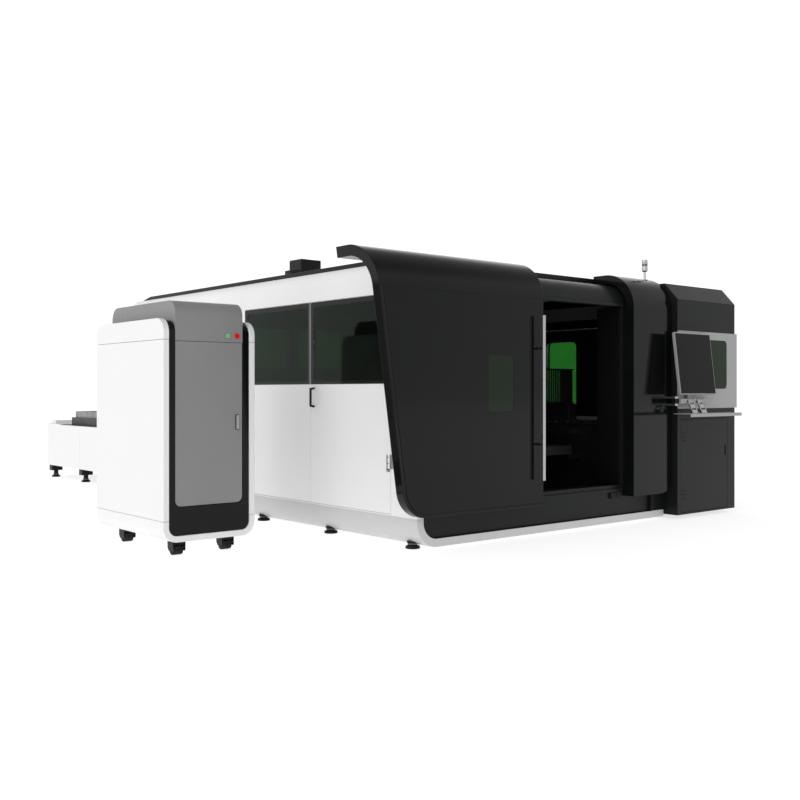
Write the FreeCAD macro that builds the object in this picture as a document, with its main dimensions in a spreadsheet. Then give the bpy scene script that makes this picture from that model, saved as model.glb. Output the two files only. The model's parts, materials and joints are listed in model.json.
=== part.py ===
"""A fibre laser cutting machine with a closed chamber, an exchange table and a laser source cabinet.

Lengths are in millimetres. The machine is drawn from the outer face of its left wall (x = 0), the front
edge of its walls (y = 0) and the floor (z = 0). Each finished piece is then moved so that the origin
lies under the middle of the whole machine.
"""
import FreeCAD, Part
import os
import re

import Sketcher

DRIVING = {
    # the closed chamber
    "shell_width": 3120, "shell_depth": 4950, "shell_height": 2240, "shell_wall": 65,
    "pan_underside": 20, "pan_height": 245, "pan_round": 200,
    "eave_width": 110, "eave_round": 100,
    "seam": 3, "running_gap": 0.5, "hinge_gap": 0.3,
    # the front frame behind the sliding door
    "front_setback": 25, "front_plate": 30, "nose_drop": 35, "nose_round": 240,
    "doorway_left": 750, "doorway_inset": 620, "sill_height": 360, "header_drop": 250,
    # the curved hood: sliding door on the left, fixed panel on the right
    "hood_front": -95, "hood_plate": 83, "hood_rise": 60, "hood_round": 320, "hood_tip": 370,
    "hood_clearance": 12,
    "door_foot_left": -190, "door_head_left": -490, "door_right": 1307, "door_bottom": 265,
    "door_corner": 235,
    "glass_inset": 357, "glass_width": 280, "glass_bottom": 1050, "glass_top": 1500, "glass_round": 30,
    "panel_reveal": 29, "panel_inset": 15, "panel_bottom": 255, "panel_corner": 150, "panel_rib": 32,
    "panel_pad_drop": 60,
    "rail_depth": 20, "rail_tall": 25, "rail_left": 80, "rail_rise": 2, "lower_rail_height": 300,
    "hanger_width": 80, "hanger_tall": 28, "hanger_first": 250, "hanger_second": 1050,
    "hanger_setback": 5,
    "grip_inset": 85, "grip_width": 30, "grip_depth": 20, "grip_standoff": 55, "grip_bottom": 480,
    "grip_drop": 150, "stud_radius": 9, "stud_low_rise": 296, "stud_high_drop": 272,
    # the pair of side doors
    "side_front": 317, "side_seam": 1405, "side_rear": 2493, "side_bottom": 258, "side_head_drop": 260,
    "side_plate": 40, "side_glass_bottom": 1300, "side_stile": 45, "side_rail": 45, "pane": 10,
    "side_glass_round": 25,
    "pin_radius": 6, "pin_offset": 6.5, "knuckle_length": 110, "knuckle_low": 610, "knuckle_high": 1500,
    "leaf_width": 28,
    "pull_bottom": 1075, "pull_top": 1250, "pull_radius": 8, "pull_standoff": 40, "pull_inset": 55,
    # windows, roof and what stands on it
    "right_window_front": 1010, "right_window_rear": 1430, "right_window_bottom": 990,
    "right_window_top": 1730, "window_round": 50,
    "rear_window_width": 700, "rear_window_inset": 200, "rear_window_pitch": 830,
    "rear_window_drop": 240, "rear_window_tall": 500,
    "roof_plate": 40, "roof_inset": 100, "roof_setback": 32.5, "roof_slope": 200, "roof_round": 300,
    "sky_inset": 170, "sky_width": 1100, "sky_front": 480, "sky_rear": 930,
    "duct_left": 400, "duct_right": 630, "duct_front": 2140, "duct_rear": 2340, "duct_tall": 190,
    "duct_step_rear": 2420, "duct_step_tall": 100,
    "lamp_inset": 120, "lamp_y": 130, "lamp_pole_radius": 14, "lamp_radius": 29, "lamp_root_depth": 50,
    "lamp_pole_tall": 60, "lamp_housing_tall": 51, "lamp_lens_tall": 44, "lamp_cap_tall": 19,
    # feet of the machine
    "foot_inset": 100, "foot_first": 170, "foot_last": 480, "foot_count": 5, "foot_radius": 50,
    "foot_pad": 15, "foot_stem_radius": 16, "foot_stem_overlap": 100,
    # the bed and the gantry
    "beam_inset": 200, "beam_width": 200, "bed_height": 900, "bed_inset": 250,
    "tie_width": 120, "tie_low": 180, "tie_high": 330, "tie_count": 5,
    "rail_width": 30, "rail_height": 30, "rail_inset": 285, "rack_width": 25, "rack_inset": 215,
    "gantry_front": 900, "gantry_depth": 200, "gantry_rise": 190, "gantry_tall": 350,
    "gantry_block_width": 120, "gantry_block_inset": 240, "gantry_block_length": 300,
    "gantry_block_lead": 50, "beam_wall": 14,
    "pleat_pitch": 31, "pleat_depth": 20, "pleat_web": 8, "pleat_inset": 420,
    "beam_rail_width": 24, "beam_rail_depth": 16, "beam_rail_drop": 48,
    "carriage_left": 1300, "carriage_width": 320, "carriage_depth": 120, "carriage_foot_rise": 30,
    "carriage_head_rise": 60, "head_width": 90, "head_depth": 100, "head_tall": 470,
    "nozzle_drop": 100, "nozzle_radius": 10, "cone_tall": 70, "cone_radius": 30, "barrel_radius": 38,
    "barrel_tall": 70,
    # the two pallets and the exchange table
    "pallet_side": 510, "pallet_inside": 700, "pallet_overlap": 100, "pallet_length": 3050,
    "pallet_tall": 90, "pallet_frame": 45, "slat_plate": 6, "slat_count": 33, "slat_seat": 20,
    "upper_track": 850, "lower_track": 600, "track_side": 470, "track_width": 90, "track_setback": 465,
    "track_tall": 105, "lower_track_tall": 40, "ledge_tall": 50, "shelf_plate": 20,
    "port_side": 440, "port_foot_gap": 60, "port_head_gap": 150,
    "table_side": 300, "table_length": 3450, "table_bottom": 170, "table_top": 745, "table_plate": 40,
    "table_beam": 100, "table_tie_tall": 120, "table_tie_count": 4,
    "cap_strip": 12, "hatch_width": 600, "hatch_depth": 180, "hatch_tall": 45, "hatch_slope": 30,
    "table_foot_inset": 76, "table_foot_first": 120, "table_foot_pitch": 1068, "table_foot_radius": 45,
    "table_foot_pad": 18, "table_foot_stem": 12,
    "motor_radius": 45, "motor_length": 260, "sprocket_radius": 48, "sprocket_width": 20,
    "shaft_radius": 16, "drive_rise": 90,
    # the control console
    "console_width": 984, "console_proud": 60, "console_rear": 700, "console_bottom": 0,
    "console_plinth": 40, "console_top": 2247, "console_chamfer_depth": 145, "console_chamfer_tall": 160,
    "console_wall": 30,
    "console_door_left": 56, "console_door_right": 849, "console_door_bottom": 60,
    "console_door_top": 950, "console_door_plate": 22,
    "fascia_bottom": 1050, "fascia_top": 1790, "fascia_plate": 20, "fascia_side": 8,
    "display_left": 170, "display_right": 810, "display_bottom": 1240, "display_top": 1715,
    "display_round": 45, "display_recess": 6,
    "drive_inset": 40, "drive_width": 140, "drive_pitch": 185, "drive_count": 4, "drive_depth": 200,
    "drive_foot_rise": 250, "drive_tall": 350,
    # the operator's station on its swing arm
    "swing_inset": 120, "swing_reach": 125, "swing_pin": 10, "swing_sleeve": 18,
    "swing_low": 1080, "swing_high": 1165, "swing_ear": 18,
    "bar_length": 560, "bar_depth": 35, "bar_back": 30, "bar_clearance": 2,
    "tray_overhang": 100, "tray_width": 845, "tray_reach": 230, "tray_setback": 42, "tray_drop": 90,
    "tray_plate": 6, "tray_lip": 30, "strut_width": 45, "strut_plate": 24, "strut_root": 18,
    "strut_inset": 130, "strut_pitch": 270,
    "screen_overhang": 40, "screen_width": 580, "screen_tall": 585, "screen_depth": 40,
    "screen_rise": 40, "screen_reach": 80, "screen_lean": 7, "screen_frame": 30,
    "screen_recess": 4, "tilt_setback": 20, "tilt_rise": 290, "tilt_radius": 9, "post_width": 70,
    "post_depth": 14, "tilt_lug": 20, "tilt_lug_front": 30, "tilt_lug_back": 13.5, "boss_front": 11.7,
    "boss_rise": 10,
    # the laser source cabinet
    "source_left": -1616, "source_width": 764, "source_front": 930, "source_depth": 1188,
    "cover_bottom": 113, "cover_top": 1750, "cover_plate": 45, "cover_sill": 45, "cover_round": 110,
    "band_setback": 12, "band_bottom": 368, "band_width": 55, "core_setback": 15, "core_rear_setback": 78,
    "core_rise": 135, "core_round": 100, "core_corner": 45, "core_wall": 20, "cap_drop": 164,
    "source_door_plate": 20, "module_count": 4, "module_tall": 200, "module_pitch": 260,
    "module_inset": 60, "module_setback": 120,
    "lamp_column": 131, "button_column": 50, "signal_rise": 49, "signal_radius": 16,
    "signal_proud": 10, "button_radius": 13, "button_proud": 14, "button_bore_depth": 28,
    "latch_column": 47, "latch_width": 22, "latch_bottom": 927, "latch_tall": 107, "latch_proud": 14,
    "latch_round": 7,
    # castors under the source cabinet
    "castor_inset": 176, "castor_span": 410, "castor_front_inset": 120, "castor_rear_inset": 218,
    "wheel_radius": 37.5, "wheel_width": 28, "castor_trail": 25, "axle_radius": 5, "axle_gap": 0.5,
    "fork_plate": 5, "fork_gap": 2, "fork_top_plate": 6, "fork_round": 28, "fork_toe": 10,
}

# Sizes that follow from others. A rule reads only sizes above it.
DERIVED = {
    "front_nose": "shell_height - nose_drop",
    "doorway_right": "shell_width - doorway_inset",
    "header_height": "shell_height - header_drop",
    "hood_top": "shell_height + hood_rise",
    "glass_right": "door_right - glass_inset",
    "glass_left": "glass_right - glass_width",
    "panel_left": "doorway_right + panel_reveal",
    "panel_right": "shell_width - panel_inset",
    "upper_rail_height": "header_height + rail_rise",
    "grip_x": "door_right - grip_inset",
    "grip_top": "header_height - grip_drop",
    "stud_low": "grip_bottom + stud_low_rise",
    "stud_high": "grip_top - stud_high_drop",
    "side_top": "shell_height - side_head_drop",
    "rear_window_second": "shell_width - rear_window_inset - rear_window_width",
    "rear_window_first": "rear_window_second - rear_window_pitch",
    "rear_window_top": "shell_height - rear_window_drop",
    "rear_window_bottom": "rear_window_top - rear_window_tall",
    "roof_top": "shell_height + roof_plate",
    "sky_right": "shell_width - sky_inset",
    "sky_left": "sky_right - sky_width",
    "duct_top": "roof_top + duct_tall",
    "duct_step_top": "roof_top + duct_step_tall",
    "lamp_x": "shell_width - lamp_inset",
    "lamp_root": "hood_top - lamp_root_depth",
    "lamp_bottom": "hood_top + lamp_pole_tall",
    "lamp_lens_bottom": "lamp_bottom + lamp_housing_tall",
    "lamp_lens_top": "lamp_lens_bottom + lamp_lens_tall",
    "lamp_top": "lamp_lens_top + lamp_cap_tall",
    "foot_pitch": "(shell_depth - foot_first - foot_last) / (foot_count - 1)",
    "bed_front": "bed_inset",
    "bed_rear": "shell_depth - bed_inset",
    "gantry_low": "bed_height + gantry_rise",
    "gantry_high": "gantry_low + gantry_tall",
    "pleat_count": "floor((shell_width - 2 * pleat_inset) / pleat_pitch)",
    "carriage_low": "gantry_low + carriage_foot_rise",
    "carriage_high": "gantry_high + carriage_head_rise",
    "nozzle_bottom": "gantry_low - nozzle_drop",
    "cone_top": "nozzle_bottom + cone_tall",
    "head_bottom": "cone_top + barrel_tall",
    "head_top": "head_bottom + head_tall",
    "pallet_outside": "shell_depth - pallet_overlap",
    "table_end": "shell_depth + table_length",
    "track_end": "table_end - track_setback",
    "port_bottom": "lower_track - port_foot_gap",
    "port_top": "upper_track + port_head_gap",
    "console_front": "hood_front - console_proud",
    "swing_x": "shell_width - swing_inset",
    "swing_y": "hood_front - swing_reach",
    "bar_right": "swing_x + bar_length",
    "bar_low": "swing_low + swing_ear + bar_clearance",
    "bar_high": "swing_high - swing_ear - bar_clearance",
    "tray_left": "swing_x - tray_overhang",
    "tray_right": "tray_left + tray_width",
    "tray_front": "swing_y - tray_reach",
    "tray_rear": "swing_y - tray_setback",
    "tray_top": "bar_low - tray_drop",
    "strut_first": "swing_x + strut_inset",
    "strut_second": "strut_first + strut_pitch",
    "screen_left": "swing_x - screen_overhang",
    "screen_right": "screen_left + screen_width",
    "screen_front": "swing_y - screen_reach",
    "screen_foot": "bar_high + screen_rise",
    "tilt_y": "swing_y + tilt_setback",
    "tilt_z": "screen_foot + tilt_rise",
    "source_right": "source_left + source_width",
    "source_rear": "source_front + source_depth",
    "core_rear": "source_rear - core_rear_setback",
    "core_top": "cover_top + core_rise",
    "cap_bottom": "cover_top - cap_drop",
    "signal_height": "cap_bottom + signal_rise",
    "latch_top": "latch_bottom + latch_tall",
    "castor_x": "source_left + castor_inset",
    "castor_front": "source_front + castor_front_inset",
    "castor_back": "source_rear - castor_rear_inset",
}
SIZES = {**DRIVING, **{size_name: "=" + rule for size_name, rule in DERIVED.items()}}

document = FreeCAD.newDocument("laser_cutting_machine")
sheet = document.addObject("Spreadsheet::Sheet", "sizes")
for row, (size_name, size_value) in enumerate(SIZES.items(), start=1):
    sheet.set(f"A{row}", size_name)
    sheet.setAlias(f"B{row}", size_name)
    sheet.set(f"B{row}", str(size_value))
document.recompute()

PLANE_ROLES = {"xy": "XY_Plane", "xz": "XZ_Plane", "yz": "YZ_Plane"}
NORMALS = {"xy": (0, 0, 1), "xz": (0, 1, 0), "yz": (1, 0, 0)}
TURN_TO_AXIS = {
    "x": FreeCAD.Rotation(FreeCAD.Vector(0, 1, 0), 90),
    "y": FreeCAD.Rotation(FreeCAD.Vector(1, 0, 0), -90),
    "z": FreeCAD.Rotation(),
}
FOOT_SIDES = 8
BAR_SIDES = 12
ROUND_SIDES = 32
finished = []


def formula(text):
    """The text as an expression, where each word that names a size reads its cell."""
    def cell(word):
        return "sizes." + word.group(0) if word.group(0) in SIZES else word.group(0)
    return re.sub(r"[a-z][a-z0-9_]*", cell, str(text))


def block(name, x, y, z):
    """A box between two planes on each axis."""
    box = document.addObject("Part::Box", name)
    for axis, side, (low, high) in zip("xyz", ("Length", "Width", "Height"), (x, y, z)):
        box.setExpression("Placement.Base." + axis, formula(low))
        box.setExpression(side, formula(f"({high}) - ({low})"))
    return box


def rod(name, axis, centre, span, radius):
    """A round bar along one axis, about a centre on the other two."""
    bar = document.addObject("Part::Cylinder", name)
    bar.Placement = FreeCAD.Placement(FreeCAD.Vector(), TURN_TO_AXIS[axis])
    places = dict(zip([other for other in "xyz" if other != axis], centre))
    places[axis] = span[0]
    for direction, place in places.items():
        bar.setExpression("Placement.Base." + direction, formula(place))
    bar.setExpression("Height", formula(f"({span[1]}) - ({span[0]})"))
    bar.setExpression("Radius", formula(radius))
    return bar


def prism(name, axis, centre, span, radius, sides=6):
    """A bar with flat sides along one axis, such as a hexagonal stem."""
    bar = document.addObject("Part::Prism", name)
    bar.Polygon = sides
    bar.Placement = FreeCAD.Placement(FreeCAD.Vector(), TURN_TO_AXIS[axis])
    places = dict(zip([other for other in "xyz" if other != axis], centre))
    places[axis] = span[0]
    for direction, place in places.items():
        bar.setExpression("Placement.Base." + direction, formula(place))
    bar.setExpression("Height", formula(f"({span[1]}) - ({span[0]})"))
    bar.setExpression("Circumradius", formula(radius))
    return bar


def cone(name, centre, span, low_radius, high_radius):
    """An upright cone between two heights."""
    taper = document.addObject("Part::Cone", name)
    for direction, place in zip("xyz", (centre[0], centre[1], span[0])):
        taper.setExpression("Placement.Base." + direction, formula(place))
    taper.setExpression("Height", formula(f"({span[1]}) - ({span[0]})"))
    taper.setExpression("Radius1", formula(low_radius))
    taper.setExpression("Radius2", formula(high_radius))
    return taper


def edges_at(shape, corner, direction):
    """Names of the edges that run in a direction through a corner of a sketched outline."""
    names = []
    for index, edge in enumerate(shape.Edges, start=1):
        ends = [vertex.Point for vertex in edge.Vertexes]
        if len(ends) < 2:
            continue
        along = ends[1] - ends[0]
        if along.Length < 1e-6 or along.cross(direction).Length > 1e-6 * along.Length:
            continue
        if (corner - ends[0]).cross(direction).Length < 1e-3:
            names.append(f"Edge{index}")
    return names


def profile(name, plane, corners, span, rounds=()):
    """A sketched outline on one plane, padded between two places along the plane's normal.

    A corner is a pair of formulas, and a round is (radius, numbers of the corners that have it)."""
    body = document.addObject("PartDesign::Body", name)
    sketch = body.newObject("Sketcher::SketchObject", name + "_outline")
    for feature in body.Origin.OriginFeatures:
        if feature.Role == PLANE_ROLES[plane]:
            sketch.AttachmentSupport = [(feature, "")]
    sketch.MapMode = "FlatFace"
    towards_front = plane == "xz"
    offset = f"-({span[0]})" if towards_front else span[0]
    sketch.setExpression("AttachmentOffset.Base.z", formula(offset))
    count = len(corners)
    start = [FreeCAD.Vector(number + 1, (number + 1) ** 2, 0) for number in range(count)]
    following = [(number + 1) % count for number in range(count)]
    sketch.addGeometry([Part.LineSegment(start[number], start[following[number]])
                        for number in range(count)])
    joined = [Sketcher.Constraint("Coincident", number, 2, following[number], 1) for number in range(count)]
    placed = [Sketcher.Constraint(kind, -1, 1, number, 1, value)
              for number in range(count)
              for kind, value in (("DistanceX", start[number].x), ("DistanceY", start[number].y))]
    sketch.addConstraint(joined + placed)
    for number, corner in enumerate(corners):
        for axis, place in enumerate(corner):
            sketch.setExpression(f"Constraints[{count + number * 2 + axis}]", formula(place))
    pad = body.newObject("PartDesign::Pad", name + "_pad")
    pad.Profile = sketch
    pad.Reversed = towards_front
    pad.setExpression("Length", formula(f"({span[1]}) - ({span[0]})"))
    if not rounds:
        return body
    document.recompute([sketch, pad])
    frame = sketch.Placement
    places = [frame.multVec(sketch.getPoint(number, 1)) for number in range(count)]
    last = pad
    for order, (radius, numbers) in enumerate(rounds):
        direction = FreeCAD.Vector(*NORMALS[plane])
        picked = [edge for number in numbers for edge in edges_at(last.Shape, places[number], direction)]
        fillet = body.newObject("PartDesign::Fillet", f"{name}_round_{order}")
        fillet.Base = (last, picked)
        fillet.setExpression("Radius", formula(radius))
        document.recompute([fillet])
        last = fillet
    return body


def panel(name, plane, across, up, span, radius=None):
    """A plate with four corners, rounded where a radius is given."""
    corners = [(across[0], up[0]), (across[1], up[0]), (across[1], up[1]), (across[0], up[1])]
    rounds = [(radius, (0, 1, 2, 3))] if radius else ()
    return profile(name, plane, corners, span, rounds)


def fused(name, pieces):
    """One solid made of pieces that touch or overlap."""
    union = document.addObject("Part::MultiFuse", name)
    union.Shapes = list(pieces)
    union.Refine = True
    return union


def grouped(name, pieces):
    """Separate solids kept together."""
    group = document.addObject("Part::Compound", name)
    group.Links = list(pieces)
    return group


def cut(name, base, tools):
    """A piece with openings."""
    tools = list(tools)
    result = document.addObject("Part::Cut", name)
    result.Base = base
    result.Tool = tools[0] if len(tools) == 1 else fused(name + "_tools", tools)
    result.Refine = True
    return result


def common(name, first, second):
    """What two pieces share."""
    result = document.addObject("Part::Common", name)
    result.Base = first
    result.Tool = second
    return result


def finish(name, pieces):
    """A finished sub-part, moved so that the origin lies under the middle of the machine."""
    part = grouped(name + "_piece", pieces)
    part.Label = name
    part.setExpression("Placement.Base.x", formula("-(source_left + shell_width + console_width) / 2"))
    part.setExpression("Placement.Base.y", formula("-(tray_front + table_end) / 2"))
    finished.append(part)
    return part


def both_sides(inset, width):
    """Spans across the machine of a piece on the left and its mirror on the right."""
    return ((inset, f"{inset} + {width}"),
            (f"shell_width - ({inset}) - {width}", f"shell_width - ({inset})"))


# ---------------------------------------------------------------- the closed chamber

def pan_outline(name, hollow):
    """The rounded tray under the chamber, or the full block that it is bent round."""
    corners = [("0", "pan_height"), ("0", "pan_underside"), ("shell_width", "pan_underside"),
               ("shell_width", "pan_height")]
    rounds = [("pan_round", (1, 2))]
    if hollow:
        corners += [("shell_width - shell_wall", "pan_height"),
                    ("shell_width - shell_wall", "pan_underside + shell_wall"),
                    ("shell_wall", "pan_underside + shell_wall"), ("shell_wall", "pan_height")]
        rounds.append(("pan_round - shell_wall", (5, 6)))
    return profile(name, "xz", corners, ("0", "shell_depth"), rounds)


def chamber_section(name, span):
    """A slice that fills the inside of the chamber from wall to wall."""
    left, right = "shell_wall", "shell_width - shell_wall"
    low, lip = "pan_underside + shell_wall", "shell_height - shell_wall"
    corners = [(left, low), (right, low), (right, lip), ("shell_width - eave_width", lip),
               ("shell_width - eave_width", "shell_height"), ("eave_width", "shell_height"),
               ("eave_width", lip), (left, lip)]
    rounds = [("pan_round - shell_wall", (0, 1)), ("eave_round - shell_wall", (2, 7))]
    return profile(name, "xz", corners, span, rounds)


def nose_cutter(name):
    """What is taken off the top front corner of a wall, so that the hood clears it."""
    corners = [("-front_setback", "pan_height"), ("0", "pan_height"), ("0", "front_nose"),
               ("hood_tip + hood_clearance", "front_nose"),
               ("hood_tip + hood_clearance", "shell_height + shell_wall"),
               ("-front_setback", "shell_height + shell_wall")]
    return profile(name, "yz", corners, ("-shell_wall", "shell_width + shell_wall"), [("nose_round", (2,))])


def chamber_wall(name, outer, sign):
    """A side wall with its eave bent over at the top; sign points into the chamber."""
    inner = f"{outer} {sign} shell_wall"
    lip = f"{outer} {sign} eave_width"
    corners = [(outer, "pan_height"), (outer, "shell_height"), (lip, "shell_height"),
               (lip, "shell_height - shell_wall"), (inner, "shell_height - shell_wall"),
               (inner, "pan_height")]
    rounds = [("eave_round", (1,)), ("eave_round - shell_wall", (4,))]
    return profile(name, "xz", corners, ("0", "shell_depth"), rounds)


finish("base_pan", [pan_outline("pan", True)])

side_opening = block("side_opening", ("-seam", "shell_wall + seam"),
                     ("side_front - seam", "side_rear + seam"), ("side_bottom - seam", "side_top + seam"))
finish("left_wall", [cut("left_wall_cut", chamber_wall("left_sheet", "0", "+"),
                         [nose_cutter("left_nose"), side_opening])])

right_window = panel("right_window", "yz", ("right_window_front", "right_window_rear"),
                     ("right_window_bottom", "right_window_top"),
                     ("shell_width - shell_wall - seam", "shell_width + seam"), "window_round")
finish("right_wall", [cut("right_wall_cut", chamber_wall("right_sheet", "shell_width", "-"),
                          [nose_cutter("right_nose"), right_window])])

front_corners = [("front_setback", "pan_underside"), ("front_setback", "front_nose"),
                 ("hood_tip + hood_clearance", "front_nose"), ("hood_tip + hood_clearance", "shell_height"),
                 ("hood_tip + hood_clearance + front_plate", "shell_height"),
                 ("hood_tip + hood_clearance + front_plate", "front_nose - front_plate"),
                 ("front_setback + front_plate", "front_nose - front_plate"),
                 ("front_setback + front_plate", "pan_underside")]
front_sheet = profile("front_sheet", "yz", front_corners, ("0", "shell_width"),
                      [("nose_round - front_setback", (1,)),
                       ("nose_round - front_setback - front_plate", (6,))])
doorway = block("doorway", ("doorway_left", "doorway_right"),
                ("front_setback - seam", "front_setback + front_plate + seam"),
                ("sill_height", "header_height"))
front_section = chamber_section("front_section", ("0", "hood_tip + hood_clearance + front_plate + seam"))
finish("front_frame", [cut("front_frame_cut", common("front_frame_sheet", front_sheet, front_section),
                           [doorway])])

rear_windows = [panel(f"rear_window_{first}", "xz", (first, f"{first} + rear_window_width"),
                      ("rear_window_bottom", "rear_window_top"),
                      ("shell_depth - shell_wall - seam", "shell_depth + seam"), "window_round")
                for first in ("rear_window_first", "rear_window_second")]
pallet_port = block("pallet_port", ("port_side", "shell_width - port_side"),
                    ("shell_depth - shell_wall - seam", "shell_depth + seam"), ("port_bottom", "port_top"))
finish("rear_wall", [cut("rear_wall_cut",
                         chamber_section("rear_section", ("shell_depth - shell_wall", "shell_depth")),
                         [*rear_windows, pallet_port])])

window_depth = "(shell_wall - pane) / 2"
panes = [panel("right_pane", "yz", ("right_window_front", "right_window_rear"),
               ("right_window_bottom", "right_window_top"),
               (f"shell_width - {window_depth} - pane", f"shell_width - {window_depth}"), "window_round")]
panes += [panel(f"rear_pane_{first}", "xz", (first, f"{first} + rear_window_width"),
                ("rear_window_bottom", "rear_window_top"),
                (f"shell_depth - {window_depth} - pane", f"shell_depth - {window_depth}"), "window_round")
          for first in ("rear_window_first", "rear_window_second")]
finish("chamber_windows", panes)

roof_rear = "shell_depth - roof_setback"
roof_sheet = profile("roof_sheet", "yz",
                     [("hood_tip + hood_clearance", "shell_height"), (roof_rear, "shell_height"),
                      (f"{roof_rear} - roof_slope", "roof_top"), ("hood_tip + hood_clearance", "roof_top")],
                     ("roof_inset", "shell_width - roof_inset"), [("roof_round", (2,))])
sky_opening = panel("sky_opening", "xy", ("sky_left", "sky_right"), ("sky_front", "sky_rear"),
                    ("shell_height - seam", "roof_top + seam"), "window_round")
finish("roof_panel", [cut("roof_cut", roof_sheet, [sky_opening])])
finish("roof_skylight", [panel("sky_pane", "xy", ("sky_left", "sky_right"), ("sky_front", "sky_rear"),
                               ("shell_height + pane", "shell_height + pane * 2"), "window_round")])
finish("exhaust_box", [fused("duct", [
    block("duct_tall", ("duct_left", "duct_right"), ("duct_front", "duct_rear"), ("roof_top", "duct_top")),
    block("duct_step", ("duct_left", "duct_right"), ("duct_rear", "duct_step_rear"),
          ("roof_top", "duct_step_top"))])])


# ---------------------------------------------------------------- the curved hood and the sliding door

def hood(name, left, right, bottom):
    """The bent shell of the front: upright, then curved back over the roof's edge."""
    inner = "hood_front + hood_plate"
    corners = [("hood_front", bottom), ("hood_front", "hood_top"), ("hood_tip", "hood_top"),
               ("hood_tip", "hood_top - hood_plate"), (inner, "hood_top - hood_plate"), (inner, bottom)]
    return profile(name, "yz", corners, (left, right),
                   [("hood_round", (1,)), ("hood_round - hood_plate", (4,))])


door_back = "hood_front + hood_plate"
door_outline = profile("door_outline", "xz",
                       [("door_foot_left", "door_bottom"), ("door_right", "door_bottom"),
                        ("door_right", "hood_top + seam"), ("door_head_left", "hood_top + seam")],
                       ("hood_front - seam", "hood_tip + seam"), [("door_corner", (0,))])
door_glass_hole = panel("door_glass_hole", "xz", ("glass_left", "glass_right"), ("glass_bottom", "glass_top"),
                        ("hood_front - seam", f"{door_back} + seam"), "glass_round")
door_sheet = cut("door_sheet", common("door_bent", hood("door_hood", "door_head_left", "door_right",
                                                        "door_bottom"), door_outline), [door_glass_hole])


def door_hooks(name, rail_bottom):
    """Two shoes behind the door that run on top of a rail."""
    low = f"{rail_bottom} + rail_tall + running_gap"
    return [block(f"{name}_{first}", (first, f"{first} + hanger_width"),
                  (door_back, "front_setback - hanger_setback"), (low, f"{low} + hanger_tall"))
            for first in ("hanger_first", "hanger_second")]


finish("door_shell", [fused("door_with_hooks", [door_sheet, *door_hooks("hook", "upper_rail_height"),
                                                *door_hooks("shoe", "lower_rail_height")])])
finish("door_window", [panel("door_pane", "xz", ("glass_left", "glass_right"), ("glass_bottom", "glass_top"),
                             ("hood_front + seam", "hood_front + seam + pane"), "glass_round")])
grip_back = "hood_front - grip_standoff"
finish("door_handle", [fused("grip", [
    block("grip_bar", ("grip_x", "grip_x + grip_width"), (f"{grip_back} - grip_depth", grip_back),
          ("grip_bottom", "grip_top")),
    *[prism(f"grip_{stud}", "y", ("grip_x + grip_width / 2", stud),
            (f"{grip_back} - grip_depth / 2", "hood_front"), "stud_radius", BAR_SIDES)
      for stud in ("stud_low", "stud_high")]])])

finish("door_tracks", [block(f"door_rail_{low}", ("rail_left", "doorway_right"),
                             ("front_setback - rail_depth", "front_setback"), (low, f"{low} + rail_tall"))
                       for low in ("upper_rail_height", "lower_rail_height")])

panel_outline = profile("panel_outline", "xz",
                        [("panel_left", "panel_bottom"), ("panel_right", "panel_bottom"),
                         ("panel_right", "hood_top + seam"), ("panel_left", "hood_top + seam")],
                        ("hood_front - seam", "hood_tip + seam"), [("panel_corner", (1,))])
panel_face = common("panel_face", hood("panel_hood", "panel_left", "panel_right", "panel_bottom"),
                    panel_outline)
rib = common("panel_rib_bent",
             block("panel_rib_plate", ("panel_left", "panel_left + panel_rib"), (door_back, "front_setback"),
                   ("panel_bottom", "header_height")),
             panel_outline)
wall_pad = common("panel_pad_bent",
                  block("panel_pad", ("shell_width - shell_wall", "panel_right"), (door_back, "0"),
                        ("panel_bottom", "header_height - panel_pad_drop")), panel_outline)
finish("right_hood", [fused("fixed_hood", [panel_face, rib, wall_pad])])

lamp_at = ("lamp_x", "lamp_y")
lamp_stem = cut("lamp_stem", prism("lamp_pole", "z", lamp_at, ("lamp_root", "lamp_bottom"),
                                   "lamp_pole_radius", BAR_SIDES), [panel_face])
lamp_housing = prism("lamp_housing", "z", lamp_at, ("lamp_bottom", "lamp_lens_bottom"), "lamp_radius",
                       ROUND_SIDES)
lamp_cap = prism("lamp_cap", "z", lamp_at, ("lamp_lens_top", "lamp_top"), "lamp_radius", ROUND_SIDES)
finish("lamp_base", [fused("lamp_socket", [lamp_stem, lamp_housing]), lamp_cap])
finish("lamp_lens", [prism("lens", "z", lamp_at, ("lamp_lens_bottom", "lamp_lens_top"), "lamp_radius",
                           ROUND_SIDES)])


# ---------------------------------------------------------------- the side doors

def side_leaf(name, front, rear):
    """One door of the side pair: a plate with its window cut out of the upper part."""
    plate = block(name + "_plate", ("0", "side_plate"), (front, rear), ("side_bottom", "side_top"))
    hole = panel(name + "_hole", "yz", (f"{front} + side_stile", f"{rear} - side_stile"),
                 ("side_glass_bottom", "side_top - side_rail"), ("-seam", "side_plate + seam"),
                 "side_glass_round")
    return cut(name + "_cut", plate, [hole])


def hinge_leaf(name, edge, sign):
    """The hinge leaves on a side door, from the knuckle to the plate."""
    near = f"{edge} {sign} (hinge_gap + pin_radius - seam)"
    far = f"{edge} {sign} leaf_width"
    span = (near, far) if sign == "+" else (far, near)
    return [block(f"{name}_{low}", ("-pin_offset", "0"), span, (low, f"{low} + knuckle_length"))
            for low in ("knuckle_low", "knuckle_high")]


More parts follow.
